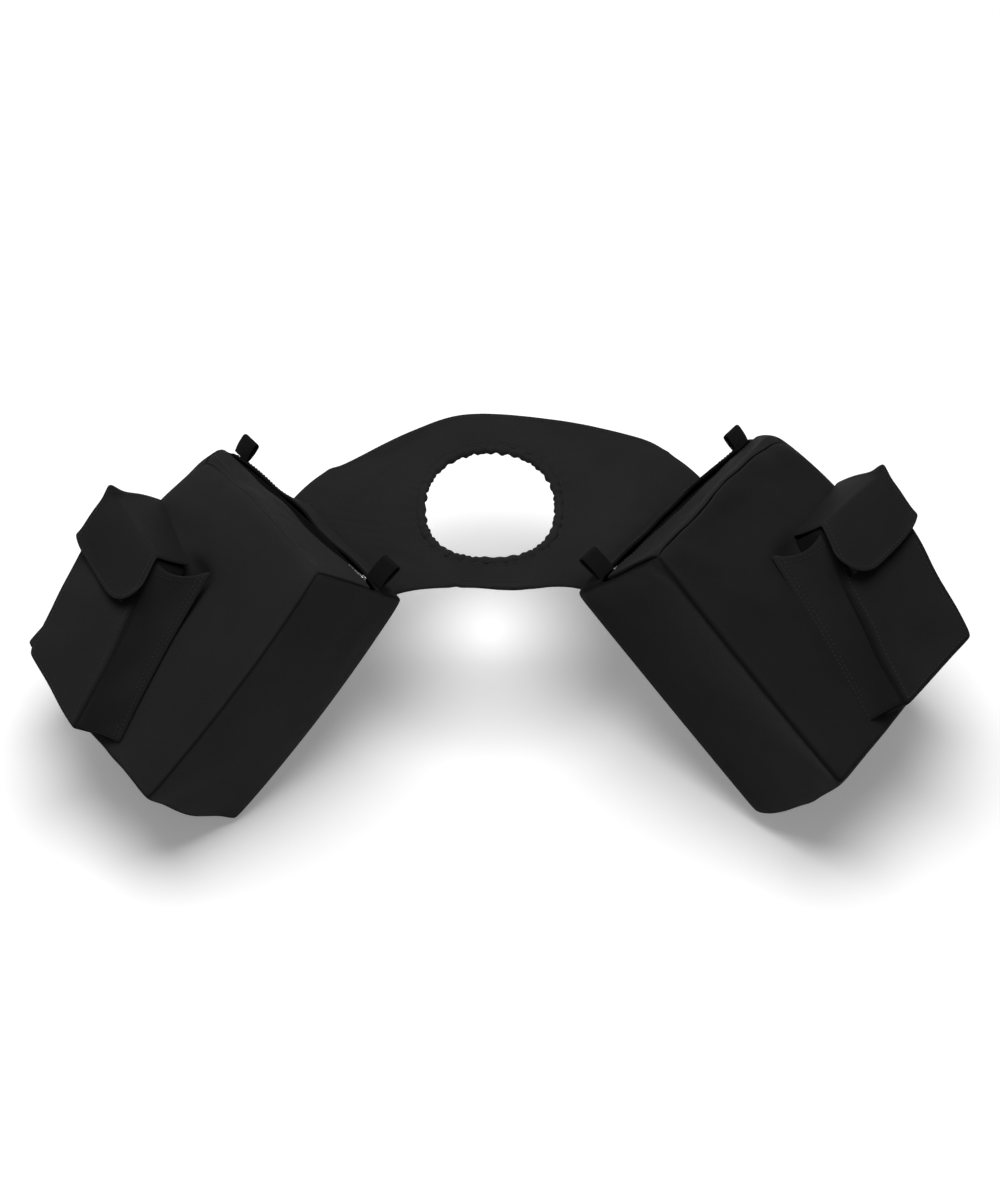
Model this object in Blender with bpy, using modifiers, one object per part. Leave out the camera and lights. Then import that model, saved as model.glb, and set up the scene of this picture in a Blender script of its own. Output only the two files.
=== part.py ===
"""Saddle horn bag: a padded yoke with an elasticated horn hole, and two zipped box pouches on its wings.

Metres, +Z up. The origin is the middle of the horn hole, on the yoke's top face. +X is the bag's
right, -Y is its near side, where the straight edge of the yoke is.
Each pouch has its own coordinates: t runs along its seam from the near side to the far side, d runs
from the back panel out to the front panel, and u runs up to 0 at its top edge.
"""
import math

import bmesh
import bpy
from mathutils import Matrix, Vector

# ---- driving dimensions ------------------------------------------------------------------------------
POUCH_WIDTH = 0.225
POUCH_DEPTH = 0.132
POUCH_HEIGHT = 0.245
PANEL = 0.0030           # canvas laid over foam
CANVAS = 0.0015          # canvas alone
GAP = 0.0008             # clearance that stands for a sewn seam
SEAM_HEADING = math.radians(49.8)

ZIP_DEPTH = 0.044        # from the back panel to the zip's middle, before the pouch slumps
ZIP_HALF = 0.0070        # half the width of both tapes
TAPE = 0.0010            # thickness of the zip's tapes
TAPE_LAP = 0.0030        # of the tapes under the edges of the top panels
ZIP_INSET = 0.004        # of the zip's ends from the pouch's sides
LID_ZIP_INSET = 0.0112   # of the lid's half of the zip, which lifts out between the webbing tabs
STIFF_EDGE = 0.0060      # what keeps its width when the far side is squashed
STIFF_ZIP = 0.0090
BOTTOM_PINCH = 0.16      # how far the far bottom front corner is drawn in, as a share of the depth
NEAR_SLOPE = 0.004       # drop of the top from the back panel to the front at the near side
FAR_DRAW = 0.015         # how far the empty bottom draws in, and lifts, at its far side
FAR_LIFT = 0.010
BOTTOM_BULGE = 0.010

HORN_HALF_X = 0.0565
HORN_HALF_Y = 0.0635
HEM_RADIUS = 0.0036
ELASTIC_RADIUS = 0.0014
YOKE_LAYERS = {"top_panel": (0.0, 0.0012), "foam": (0.0015, 0.0045), "lining": (0.0048, 0.0060)}
YOKE_NEAR_EDGE = -0.0955
BEND_RADIUS = 0.085      # of the yoke's wing over the saddle
WING_LENGTH = 0.085      # from the fold to the end of the lap behind the pouch

# Each side as it lies: hang is the angle below level, seam_out and seam_start place the top back edge,
# and far_pinch and far_drop say how far the far top front corner has sunk in, as a share of the depth,
# and down.
# The flap pocket's corners are (t, d, u) on its front face.
SIDES = {
    "left": {"mirror": -1, "hang": math.radians(38.0), "seam_out": 0.1230, "seam_start": -0.0276,
             "seam_z": -0.0085, "yoke_far": 0.127, "far_pinch": 0.62, "far_drop": 0.016,
             "near_top": (0.126, 0.143, -0.090), "far_top": (0.211, 0.134, -0.083),
             "near_bottom": (0.075, 0.165, -0.238), "far_bottom": (0.164, 0.160, -0.223)},
    "right": {"mirror": 1, "hang": math.radians(34.0), "seam_out": 0.1213, "seam_start": -0.0214,
              "seam_z": -0.0073, "yoke_far": 0.153, "far_pinch": 0.52, "far_drop": 0.009,
              "near_top": (0.136, 0.141, -0.082), "far_top": (0.223, 0.136, -0.088),
              "near_bottom": (0.073, 0.165, -0.233), "far_bottom": (0.168, 0.165, -0.232)},
}
# The yoke's far edge between its folds, from the right side to the left.
YOKE_FAR_EDGE = [(0.134, 0.081), (0.063, 0.1025), (-0.0185, 0.1105), (-0.0715, 0.089), (-0.128, 0.050)]

POCKET_SIZE = (0.092, 0.160)
FLAP_ROOT = (-0.035, -0.085)     # its near and far ends, in shares of the pocket's height
FLAP_FOLD = -0.012
FLAP_END = 0.33
FLAP_STAND = 0.0034      # the flap's underside above the pocket's face
SLEEVE_SEAM_TOP = (0.096, -0.073)
SLEEVE_SEAM_BOTTOM = (0.052, -0.228)

SLIDER_LENGTH = 0.0085
SLIDER_HALF_WIDTH = 0.0033
PLATE_BOTTOM = 0.0003    # of the slider, above the top of the teeth
PLATE_TOP = 0.0018
BRIDGE_TOP = 0.0046
PULL_LENGTH = 0.022
PULL_THICKNESS = 0.0007
PULL_PIN = 0.0005        # half the width of the pull's end bar, which turns in the slider's bridge
PULL_EYE = 0.0015        # half the width of the hole in the pull
PULL_EYE_END = 0.0044
PULL_RIM = 0.0012
PULL_HEIGHT = 0.0028
SLIDER_START = 0.014     # along the zip, from the pouch's near side
TAB_WIDTH = 0.020
NEAR_TAB_HEIGHT = 0.025
FAR_TAB_HEIGHT = 0.018
TAB_FOLD = 0.0020        # radius of the fold at the tab's top
TAB_THICKNESS = 0.0013
NEAR_TAB_INSET = 0.008   # of the tabs' middles from the pouch's sides
FAR_TAB_INSET = 0.012
TAB_BACK = 0.0075        # of the tabs' middles behind the zip's
TAB_GAP = 0.0017         # under the tab, where the top bends at the zip
TAB_TILT = 0.10          # of both tabs, away from the middle of the zip
HOOK_AND_LOOP = (0.12, 0.88, 0.17, 0.29)     # in shares of the pocket: near, far, top, bottom


# ---- materials, collection, placing ------------------------------------------------------------------
def make_material(name, grey, roughness, metallic=0.0):
    material = bpy.data.materials.new(name)
    material.use_nodes = True
    shader = material.node_tree.nodes["Principled BSDF"]
    shader.inputs["Base Color"].default_value = (grey, grey, grey, 1.0)
    shader.inputs["Roughness"].default_value = roughness
    shader.inputs["Metallic"].default_value = metallic
    return material


for leftover in list(bpy.data.objects):
    bpy.data.objects.remove(leftover)

MATERIALS = {
    "canvas": make_material("canvas", 0.022, 0.85),
    "lining": make_material("lining", 0.030, 0.70),
    "foam": make_material("foam", 0.060, 0.95),
    "webbing": make_material("webbing", 0.010, 0.75),
    "elastic": make_material("elastic", 0.020, 0.80),
    "zip_tape": make_material("zip_tape", 0.010, 0.80),
    "zip_teeth": make_material("zip_teeth", 0.012, 0.45),
    "zip_metal": make_material("zip_metal", 0.55, 0.30, 1.0),
    "hook_and_loop": make_material("hook_and_loop", 0.012, 0.95),
}
parts = bpy.data.collections.new("saddle_horn_bag")
bpy.context.scene.collection.children.link(parts)


def add_piece(name, bm, material, frame=None, pivot=None):
    """Makes bm, drawn in frame's coordinates, into the object name with its origin at pivot."""
    bmesh.ops.recalc_face_normals(bm, faces=bm.faces)
    closed = all(edge.is_manifold for edge in bm.edges)
    if closed and bm.calc_volume(signed=True) < 0:
        bmesh.ops.reverse_faces(bm, faces=bm.faces)
    mesh = bpy.data.meshes.new(name)
    bm.to_mesh(mesh)
    bm.free()
    piece = bpy.data.objects.new(name, mesh)
    mesh.materials.append(MATERIALS[material])
    parts.objects.link(piece)
    if pivot is not None:
        mesh.transform(Matrix.Translation(-pivot))
        piece.location = pivot
    piece.parent = frame
    return piece


def add_thickness(piece, thickness, offset):
    shell = piece.modifiers.new("thickness", "SOLIDIFY")
    shell.thickness = thickness
    shell.offset = offset
    shell.use_even_offset = True


# ---- shapes that sections share ----------------------------------------------------------------------
def cut_block(low, high, cuts):
    """A box from corner low to corner high, cut across each axis at the planes in cuts."""
    bm = bmesh.new()
    bmesh.ops.create_cube(bm, size=1.0)
    for vert in bm.verts:
        vert.co = Vector([lo + (hi - lo) * (c + 0.5) for lo, hi, c in zip(low, high, vert.co)])
    for axis, planes in enumerate(cuts):
        normal = Vector([float(axis == k) for k in range(3)])
        for place in planes:
            if low[axis] + GAP < place < high[axis] - GAP:
                whole = bm.verts[:] + bm.edges[:] + bm.faces[:]
                bmesh.ops.bisect_plane(bm, geom=whole, plane_co=normal * place, plane_no=normal)
    return bm


def bend_all(bm, shape):
    """Moves every vertex of bm to shape(x, y, z)."""
    for vert in bm.verts:
        vert.co = Vector(shape(*vert.co))
    return bm


def shares(count):
    """The planes that cut 0 to 1 into count equal lengths."""
    return [k / count for k in range(1, count)]


def mix(a, b, share):
    return a + (b - a) * share


def smooth_line(points, steps):
    """A Catmull-Rom curve through points, with steps spans between each two."""
    padded = [points[0] * 2 - points[1]] + points + [points[-1] * 2 - points[-2]]
    line = []
    for p0, p1, p2, p3 in zip(padded, padded[1:], padded[2:], padded[3:]):
        for k in range(steps):
            x = k / steps
            line.append(0.5 * (2 * p1 + (p2 - p0) * x + (2 * p0 - 5 * p1 + 4 * p2 - p3) * x * x
                               + (3 * p1 - p0 - 3 * p2 + p3) * x ** 3))
    return line + [points[-1]]


# ---- the yoke: flat between its two folds ------------------------------------------------------------
def side_axes(side):
    """A side's level directions: along its seam to the far side, and out from the horn hole."""
    mirror = side["mirror"]
    along = Vector((mirror * math.cos(SEAM_HEADING), math.sin(SEAM_HEADING), 0.0))
    out = Vector((mirror * math.sin(SEAM_HEADING), -math.cos(SEAM_HEADING), 0.0))
    return along, out


def fold_distance(side):
    """How far from the horn hole the yoke starts to bend, so that its wing ends flat on the pouch's back."""
    sine, cosine = math.sin(side["hang"]), math.cos(side["hang"])
    back_plane = side["seam_out"] * sine + side["seam_z"] * cosine - GAP
    return (back_plane - BEND_RADIUS * (1 - cosine)) / sine


def hole_point(angle, outset):
    """A point round the horn hole, outset from its free edge. The near half is flatter than the far half."""
    squareness = 2.0 / 2.1 if math.sin(angle) > 0 else 2.0 / 2.5
    cosine, sine = math.cos(angle), math.sin(angle)
    x = (HORN_HALF_X + outset) * math.copysign(abs(cosine) ** squareness, cosine)
    y = (HORN_HALF_Y + outset) * math.copysign(abs(sine) ** squareness, sine)
    return Vector((x, y, 0.0))


def yoke_outline():
    """The flat part of the yoke, anticlockwise from the near end of the right fold."""
    corners = {}
    for name, side in SIDES.items():
        along, out = side_axes(side)
        distance = fold_distance(side) - GAP / 2
        near = (YOKE_NEAR_EDGE - out.y * distance) / along.y
        corners[name] = [out * distance + along * s for s in (near, side["yoke_far"])]
    middle = [Vector((x, y, 0.0)) for x, y in YOKE_FAR_EDGE]
    far_edge = smooth_line([corners["right"][1]] + middle + [corners["left"][1]], 3)
    return [corners["right"][0]] + far_edge + [corners["left"][0]]


def make_yoke():
    outline = yoke_outline()
    hole_edge = 2 * HEM_RADIUS + GAP
    around = [2 * math.pi * k / 40 for k in range(40)]
    hole = [hole_point(angle, hole_edge) for angle in around]
    for layer, (top, bottom) in YOKE_LAYERS.items():
        curve = bpy.data.curves.new("yoke_" + layer, "CURVE")
        curve.dimensions = "2D"
        curve.fill_mode = "BOTH"
        curve.extrude = (bottom - top) / 2
        for points in (outline, hole):
            spline = curve.splines.new("POLY")
            spline.points.add(len(points) - 1)
            for target, point in zip(spline.points, points):
                target.co = (point.x, point.y, 0.0, 1.0)
            spline.use_cyclic_u = True
        flat = bpy.data.objects.new("yoke_flat", curve)
        parts.objects.link(flat)
        sheet = bpy.data.meshes.new_from_object(flat.evaluated_get(bpy.context.evaluated_depsgraph_get()))
        bpy.data.objects.remove(flat)
        bm = bmesh.new()
        bm.from_mesh(sheet)
        bmesh.ops.remove_doubles(bm, verts=bm.verts, dist=0.00005)
        bmesh.ops.translate(bm, verts=bm.verts, vec=(0.0, 0.0, -(top + bottom) / 2))
        add_piece("yoke_" + layer, bm, {"top_panel": "canvas"}.get(layer, layer))


def ring_section(start, end, radius, spans):
    """A strip bent round the horn hole's hem, from angle start to angle end of the hem's own circle."""
    count = 40
    bm = bmesh.new()
    bmesh.ops.create_grid(bm, x_segments=count, y_segments=spans, size=0.5)
    middle = -(YOKE_LAYERS["top_panel"][0] + YOKE_LAYERS["lining"][1]) / 2
    for vert in bm.verts:
        angle = 2 * math.pi * (vert.co.x + 0.5)
        turn = mix(start, end, vert.co.y + 0.5)
        ring = hole_point(angle, HEM_RADIUS - radius * math.cos(turn))
        vert.co = ring + Vector((0.0, 0.0, middle + radius * math.sin(turn)))
    bmesh.ops.remove_doubles(bm, verts=bm.verts, dist=0.00005)
    return bm


def make_hem():
    """The turned hem is open towards the yoke, which it is sewn to, and the elastic runs inside it."""
    open_half = math.radians(138)
    hem = add_piece("horn_hole_hem", ring_section(-open_half, open_half, HEM_RADIUS, 8), "canvas")
    add_thickness(hem, 0.0007, -1.0)
    add_piece("horn_hole_elastic", ring_section(-math.pi, math.pi, ELASTIC_RADIUS, 6), "elastic")


# ---- the wings: bent round the saddle and lapped behind the pouches ----------------------------------
def make_wing(name, side):
    along, out = side_axes(side)
    fold = fold_distance(side)
    hang = side["hang"]
    arc = BEND_RADIUS * hang
    edge_at_fold = (YOKE_NEAR_EDGE - out.y * fold) / along.y
    edge_at_pouch = side["seam_start"] + 0.002

    def wing_shape(share, run, depth):
        turned = min(run / BEND_RADIUS, hang)
        past = max(run - arc, 0.0)
        distance = fold + (BEND_RADIUS + depth) * math.sin(turned) + past * math.cos(hang)
        height = (BEND_RADIUS + depth) * math.cos(turned) - BEND_RADIUS - past * math.sin(hang)
        near = mix(edge_at_fold, edge_at_pouch, min(run / 0.045, 1.0))
        return out * distance + along * mix(near, side["yoke_far"], share) + Vector((0.0, 0.0, height))

    pivot = out * fold
    for layer in ("top_panel", "lining"):
        top, bottom = YOKE_LAYERS[layer]
        run_cuts = [0.010, 0.020, 0.030, 0.040, arc, 0.070]
        bm = cut_block((0.0, GAP / 2, -bottom), (1.0, WING_LENGTH, -top), ((), run_cuts, ()))
        for vert in bm.verts:
            vert.co = wing_shape(*vert.co)
        short = "wing_" + ("panel" if layer == "top_panel" else "lining")
        add_piece(f"{name}_{short}", bm, "canvas" if layer == "top_panel" else "lining", None, pivot)


# ---- the pouches -------------------------------------------------------------------------------------
def make_frame(name, side):
    """The pouch's empty: origin at its near back top corner, X along the seam, Y out of the front, Z up."""
    along, out = side_axes(side)
    sine, cosine = math.sin(side["hang"]), math.cos(side["hang"])
    depth_axis = out * sine + Vector((0.0, 0.0, cosine))
    up_axis = Vector((0.0, 0.0, sine)) - out * cosine
    frame = bpy.data.objects.new(f"{name}_pouch_frame", None)
    parts.objects.link(frame)
    x_axis = along * -side["mirror"]
    turn = Matrix((x_axis, depth_axis, up_axis)).transposed()
    origin = out * side["seam_out"] + along * side["seam_start"] + Vector((0.0, 0.0, side["seam_z"]))
    frame.matrix_world = Matrix.Translation(origin) @ turn.to_4x4()
    return frame


T_CUTS = [POUCH_WIDTH * share for share in shares(6)]
D_CUTS = [STIFF_EDGE, ZIP_DEPTH - STIFF_ZIP, ZIP_DEPTH + STIFF_ZIP, 0.09, POUCH_DEPTH - STIFF_EDGE]
U_CUTS = [-POUCH_HEIGHT * share for share in (0.08, 0.2, 0.35, 0.5, 0.65, 0.8, 0.92)]


class Pouch:
    """One side's pouch: it draws pieces in (t, d, u) and adds them to the pouch's frame."""

    def __init__(self, name, side):
        self.name = name
        self.side = side
        self.hand = -side["mirror"]
        self.frame = make_frame(name, side)

    def front_share(self, t, u):
        """The pouch's depth at t and u, as a share of the depth of its near side."""
        down = min(max(-u / POUCH_HEIGHT, 0.0), 1.0)
        pinch = self.side["far_pinch"] - (self.side["far_pinch"] - BOTTOM_PINCH) * down ** 1.3
        return 1.0 - pinch * max(t / POUCH_WIDTH, 0.0) ** (1.0 + down)

    def settle(self, t, d, u):
        """Where a point of the square-cut pouch goes when the bag slumps at its far top front corner."""
        along = t / POUCH_WIDTH
        down = min(max(-u / POUCH_HEIGHT, 0.0), 1.0)
        stiff = 2 * STIFF_EDGE + 2 * STIFF_ZIP
        squash = (POUCH_DEPTH * self.front_share(t, u) - stiff) / (POUCH_DEPTH - stiff)
        behind_zip = ZIP_DEPTH - STIFF_ZIP - STIFF_EDGE
        before_zip = POUCH_DEPTH - STIFF_EDGE - ZIP_DEPTH - STIFF_ZIP
        depth = min(d, STIFF_EDGE)
        depth += squash * min(max(d - STIFF_EDGE, 0.0), behind_zip)
        depth += min(max(d - ZIP_DEPTH + STIFF_ZIP, 0.0), 2 * STIFF_ZIP)
        depth += squash * min(max(d - ZIP_DEPTH - STIFF_ZIP, 0.0), before_zip)
        depth += max(d - POUCH_DEPTH + STIFF_EDGE, 0.0)
        slope = (NEAR_SLOPE + (self.side["far_drop"] - NEAR_SLOPE) * along) * min(d / POUCH_DEPTH, 1.0)
        crown = math.sin(math.pi * min(max(d / POUCH_DEPTH, 0.0), 1.0)) * math.sin(math.pi * along)
        u += FAR_LIFT * along * down ** 2
        u -= slope * (1.0 - down) ** 2 + BOTTOM_BULGE * crown * down ** 4
        return t - FAR_DRAW * along * down ** 2, depth, u

    def front_surface(self, t, u):
        """The depth of the front panel's outer face at the settled place (t, u)."""
        flat_t, flat_u = t, u
        for _ in range(6):
            now_t, depth, now_u = self.settle(flat_t, POUCH_DEPTH, flat_u)
            flat_t += t - now_t
            flat_u += u - now_u
        return self.settle(flat_t, POUCH_DEPTH, flat_u)[1]

    def pocket_face(self, a, b):
        """A point of the pocket's front face: a from near to far, b from its top down, as shares."""
        corners = [Vector(self.side[key]) for key in ("near_top", "far_top", "near_bottom", "far_bottom")]
        return mix(mix(corners[0], corners[1], a), mix(corners[2], corners[3], a), b)

    def off_face(self, a, b, lift):
        return self.pocket_face(a, b) + Vector((0.0, lift, 0.0))

    def pocket_root(self, a, b):
        """The point just clear of the pouch's front panel that lies straight behind pocket_face(a, b)."""
        point = self.pocket_face(a, b)
        return Vector((point.x, self.front_surface(point.x, point.z) + GAP, point.z))

    def root_to_face(self, a, b, share):
        """A point of a pocket wall: share 0 is just clear of the front panel, 1 of the pocket's face."""
        return mix(self.pocket_root(a, b), self.off_face(a, b, -CANVAS - GAP / 2), share)

    def place(self, point):
        return Vector((self.hand * point[0], point[1], point[2]))

    def add(self, name, bm, material, pivot=None):
        for vert in bm.verts:
            vert.co = self.place(vert.co)
        pivot = None if pivot is None else self.place(pivot)
        return add_piece(f"{self.name}_{name}", bm, material, self.frame, pivot)

    def panel(self, name, material, t_span, d_span, u_span, pivot=None):
        spans = list(zip(t_span, d_span, u_span))
        block = cut_block(spans[0], spans[1], (T_CUTS, D_CUTS, U_CUTS))
        return self.add(name, bend_all(block, self.settle), material, pivot)


def make_box(pouch):
    """The five padded panels, the band behind the zip and the thin lining tray inside them."""
    step = PANEL + GAP
    lid_line = -step
    across = (0.0, POUCH_WIDTH)
    between = (step, POUCH_DEPTH - step)
    pouch.panel("back_panel", "canvas", across, (0.0, PANEL), (-POUCH_HEIGHT, 0.0))
    front = (POUCH_DEPTH - PANEL, POUCH_DEPTH)
    pouch.panel("front_panel", "canvas", across, front, (-POUCH_HEIGHT, lid_line))
    pouch.panel("bottom_panel", "canvas", across, between, (-POUCH_HEIGHT, PANEL - POUCH_HEIGHT))
    standing = (step - POUCH_HEIGHT, lid_line)
    pouch.panel("near_gusset", "canvas", (0.0, PANEL), between, standing)
    pouch.panel("far_gusset", "canvas", (POUCH_WIDTH - PANEL, POUCH_WIDTH), between, standing)
    pouch.panel("top_band", "canvas", across, (step, ZIP_DEPTH - ZIP_HALF), (-PANEL, 0.0))
    make_lining(pouch, step)


def make_lining(pouch, step):
    inset = step + GAP
    low = (inset, inset, inset - POUCH_HEIGHT)
    high = (POUCH_WIDTH - inset, POUCH_DEPTH - inset, -inset - 0.002)
    tray = cut_block(low, high, (T_CUTS, D_CUTS, U_CUTS))
    mouth = [face for face in tray.faces if face.calc_center_median().z > high[2] - 0.0001]
    bmesh.ops.delete(tray, geom=mouth, context="FACES")
    lining = pouch.add("lining", bend_all(tray, pouch.settle), "lining")
    floor = min(lining.data.polygons, key=lambda face: face.center.z)
    add_thickness(lining, 0.0008, -1.0 if floor.normal.z < 0 else 1.0)


def make_lid(pouch):
    """The lid turns on its front edge, where it is sewn to the front panel."""
    hinge = [Vector(pouch.settle(t, POUCH_DEPTH, 0.0)) for t in (0.0, POUCH_WIDTH)]
    pivot = (hinge[0] + hinge[1]) / 2 - Vector((0.0, 0.0, PANEL))
    across = (0.0, POUCH_WIDTH)
    pouch.panel("lid", "canvas", across, (ZIP_DEPTH + ZIP_HALF, POUCH_DEPTH), (-PANEL, 0.0), pivot)
    return pivot


def make_zip(pouch, lid_pivot):
    band_ends = (ZIP_INSET, POUCH_WIDTH - ZIP_INSET)
    lid_ends = (LID_ZIP_INSET, POUCH_WIDTH - LID_ZIP_INSET)
    tape = (0.0020, ZIP_HALF + TAPE_LAP)
    row = (0.0003, 0.0017)
    tape_u = (-PANEL - GAP - TAPE, -PANEL - GAP)
    row_u = (tape_u[0] - GAP, tape_u[1] + GAP)
    for name, sign, ends, pivot in (("band", -1, band_ends, None), ("lid", 1, lid_ends, lid_pivot)):
        tape_d = sorted(ZIP_DEPTH + sign * x for x in tape)
        row_d = sorted(ZIP_DEPTH + sign * x for x in row)
        pouch.panel(f"zip_tape_{name}", "zip_tape", ends, tape_d, tape_u, pivot)
        pouch.panel(f"zip_teeth_{name}", "zip_teeth", ends, row_d, row_u, pivot)
    make_slider(pouch)


def combine(target, tool, operation):
    """Joins the mesh of the object tool to target, or cuts it away, and removes tool."""
    step = target.modifiers.new("combine", "BOOLEAN")
    step.operation = operation
    step.object = tool
    bpy.context.view_layer.update()
    solid = bpy.data.meshes.new_from_object(target.evaluated_get(bpy.context.evaluated_depsgraph_get()))
    target.modifiers.remove(step)
    target.data = solid
    bpy.data.objects.remove(tool)


def make_slider(pouch):
    """The slider stands on both rows of teeth, and its pull lies along the zip towards the far side."""
    teeth_top = -PANEL
    start = pouch.place(pouch.settle(0.0, ZIP_DEPTH, teeth_top))
    end = pouch.place(pouch.settle(POUCH_WIDTH, ZIP_DEPTH, teeth_top))
    along = (end - start).normalized()
    up = Vector((0.0, 0.0, 1.0))
    across = up.cross(along).normalized()
    turn = Matrix((along, across, along.cross(across))).transposed().to_4x4()
    slide_frame = bpy.data.objects.new(f"{pouch.name}_slider_frame", None)
    parts.objects.link(slide_frame)
    slide_frame.parent = pouch.frame
    slide_frame.matrix_local = Matrix.Translation(start + along * SLIDER_START) @ turn
    low, high = -SLIDER_LENGTH / 2, SLIDER_LENGTH / 2
    wide = SLIDER_HALF_WIDTH
    plate = cut_block((low, -wide, PLATE_BOTTOM), (high, wide, PLATE_TOP), ((), (), ()))
    slider = add_piece(f"{pouch.name}_zip_slider", plate, "zip_metal", slide_frame)
    bar = cut_block((-0.0022, -0.0009, PLATE_TOP / 2), (0.0022, 0.0009, BRIDGE_TOP), ((), (), ()))
    combine(slider, add_piece(f"{pouch.name}_bridge", bar, "zip_metal", slide_frame), "UNION")
    window = cut_block((-0.0013, -0.0020, PLATE_TOP), (0.0013, 0.0020, BRIDGE_TOP - 0.0009), ((), (), ()))
    combine(slider, add_piece(f"{pouch.name}_window", window, "zip_metal", slide_frame), "DIFFERENCE")
    make_pull(pouch, slide_frame)


def make_pull(pouch, slide_frame):
    """A flat pull with an eye at one end. The eye's end bar turns under the slider's bridge."""
    half = PULL_THICKNESS / 2
    wide = PULL_EYE + PULL_RIM
    blade = cut_block((-PULL_PIN, -wide, -half), (PULL_LENGTH, wide, half), ((), (), ()))
    pull = add_piece(f"{pouch.name}_zip_pull", blade, "zip_metal", slide_frame, Vector((0.0, 0.0, 0.0)))
    low = (PULL_PIN, -PULL_EYE, -2 * PULL_RIM)
    high = (PULL_EYE_END, PULL_EYE, 2 * PULL_RIM)
    eye = cut_block(low, high, ((), (), ()))
    combine(pull, add_piece(f"{pouch.name}_eye", eye, "zip_metal", slide_frame), "DIFFERENCE")
    pull.location = (0.0, 0.0, PULL_HEIGHT)


def make_tab(pouch, name, t, height, tilt):
    """A loop of webbing sewn down by both its ends, standing on the band beside the end of the zip."""
    bottom = Vector(pouch.settle(t, ZIP_DEPTH - TAB_BACK, 0.0))
    near = Vector(pouch.settle(t - TAB_WIDTH / 2, ZIP_DEPTH - TAB_BACK, 0.0))
    along = (bottom - near).normalized()
    across = Vector((0.0, 0.0, 1.0)).cross(along).normalized()
    radius = TAB_FOLD
    bm = bmesh.new()
    bmesh.ops.create_grid(bm, x_segments=8, y_segments=1, size=0.5)
    straight = height - radius
    length = 2 * straight + math.pi * radius
    for vert in bm.verts:
        run = (vert.co.x + 0.5) * length
        beside = along * vert.co.y * TAB_WIDTH
        if run < straight:
            place = (-radius, run)
        elif run > length - straight:
            place = (radius, length - run)
        else:
            turn = (run - straight) / radius
            place = (-radius * math.cos(turn), straight + radius * math.sin(turn))
        lean = Vector((tilt * place[1], 0.0, place[1] + TAB_GAP))
        vert.co = bottom + beside + across * place[0] + lean
    tab = pouch.add(name, bm, "webbing")
    add_thickness(tab, TAB_THICKNESS, 0.0)


# ---- the flap pocket on each front panel -------------------------------------------------------------
def make_pocket(pouch):
    wide, tall = POCKET_SIZE
    side = CANVAS / wide
    foot = CANVAS / tall
    clear = GAP / tall
    three, five = shares(3), shares(5)
    face = cut_block((0.0, 0.0, -CANVAS), (1.0, 1.0, 0.0), (three, five, ()))
    pouch.add("pocket_front", bend_all(face, pouch.off_face), "canvas")
    for name, low, high in (("near", 0.0, side), ("far", 1.0 - side, 1.0)):
        wall = cut_block((low, 0.0, 0.0), (high, 1.0 - foot - clear, 1.0), ((), five, shares(2)))
        pouch.add(f"pocket_{name}_gusset", bend_all(wall, pouch.root_to_face), "canvas")
    base = cut_block((0.0, 1.0 - foot, 0.0), (1.0, 1.0, 1.0), (three, (), shares(2)))
    pouch.add("pocket_bottom", bend_all(base, pouch.root_to_face), "canvas")
    near, far, top, bottom = HOOK_AND_LOOP
    loop = cut_block((near, top, 0.0003), (far, bottom, 0.0014), (three, (), ()))
    pouch.add("loop_strip", bend_all(loop, pouch.off_face), "hook_and_loop")


def make_flap(pouch):
    """The flap is sewn to the front panel above the pocket, folds over its mouth and hangs down its face."""
    ends = (-0.03, 1.03)
    roots = [pouch.pocket_root(a, b) + Vector((0.0, GAP, 0.0)) for a, b in zip(ends, FLAP_ROOT)]
    pivot = (roots[0] + roots[1]) / 2 + Vector((0.0, 0.0, CANVAS))
    rows = 7
    bm = bmesh.new()
    bmesh.ops.create_grid(bm, x_segments=3, y_segments=rows, size=0.5)
    for vert in bm.verts:
        a = mix(ends[0], ends[1], vert.co.x + 0.5)
        row = round((vert.co.y + 0.5) * rows)
        folded = pouch.off_face(a, FLAP_FOLD, FLAP_STAND)
        root = mix(roots[0], roots[1], vert.co.x + 0.5)
        over = 3
        if row <= over:
            vert.co = mix(root, folded, row / over)
        else:
            vert.co = pouch.off_face(a, mix(FLAP_FOLD, FLAP_END, (row - over) / (rows - over)), FLAP_STAND)
    flap = pouch.add("pocket_flap", bm, "canvas", pivot)
    add_thickness(flap, CANVAS, 1.0 if outward(flap) else -1.0)
    near, far, top, bottom = HOOK_AND_LOOP
    hook = cut_block((near, top, 0.0017), (far, bottom, 0.0029), (shares(3), (), ()))
    pouch.add("hook_strip", bend_all(hook, pouch.off_face), "hook_and_loop", pivot)


def outward(piece):
    """True where the open sheet's faces point out of the pouch's front."""
    return sum(face.normal.y * face.area for face in piece.data.polygons) > 0


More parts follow.
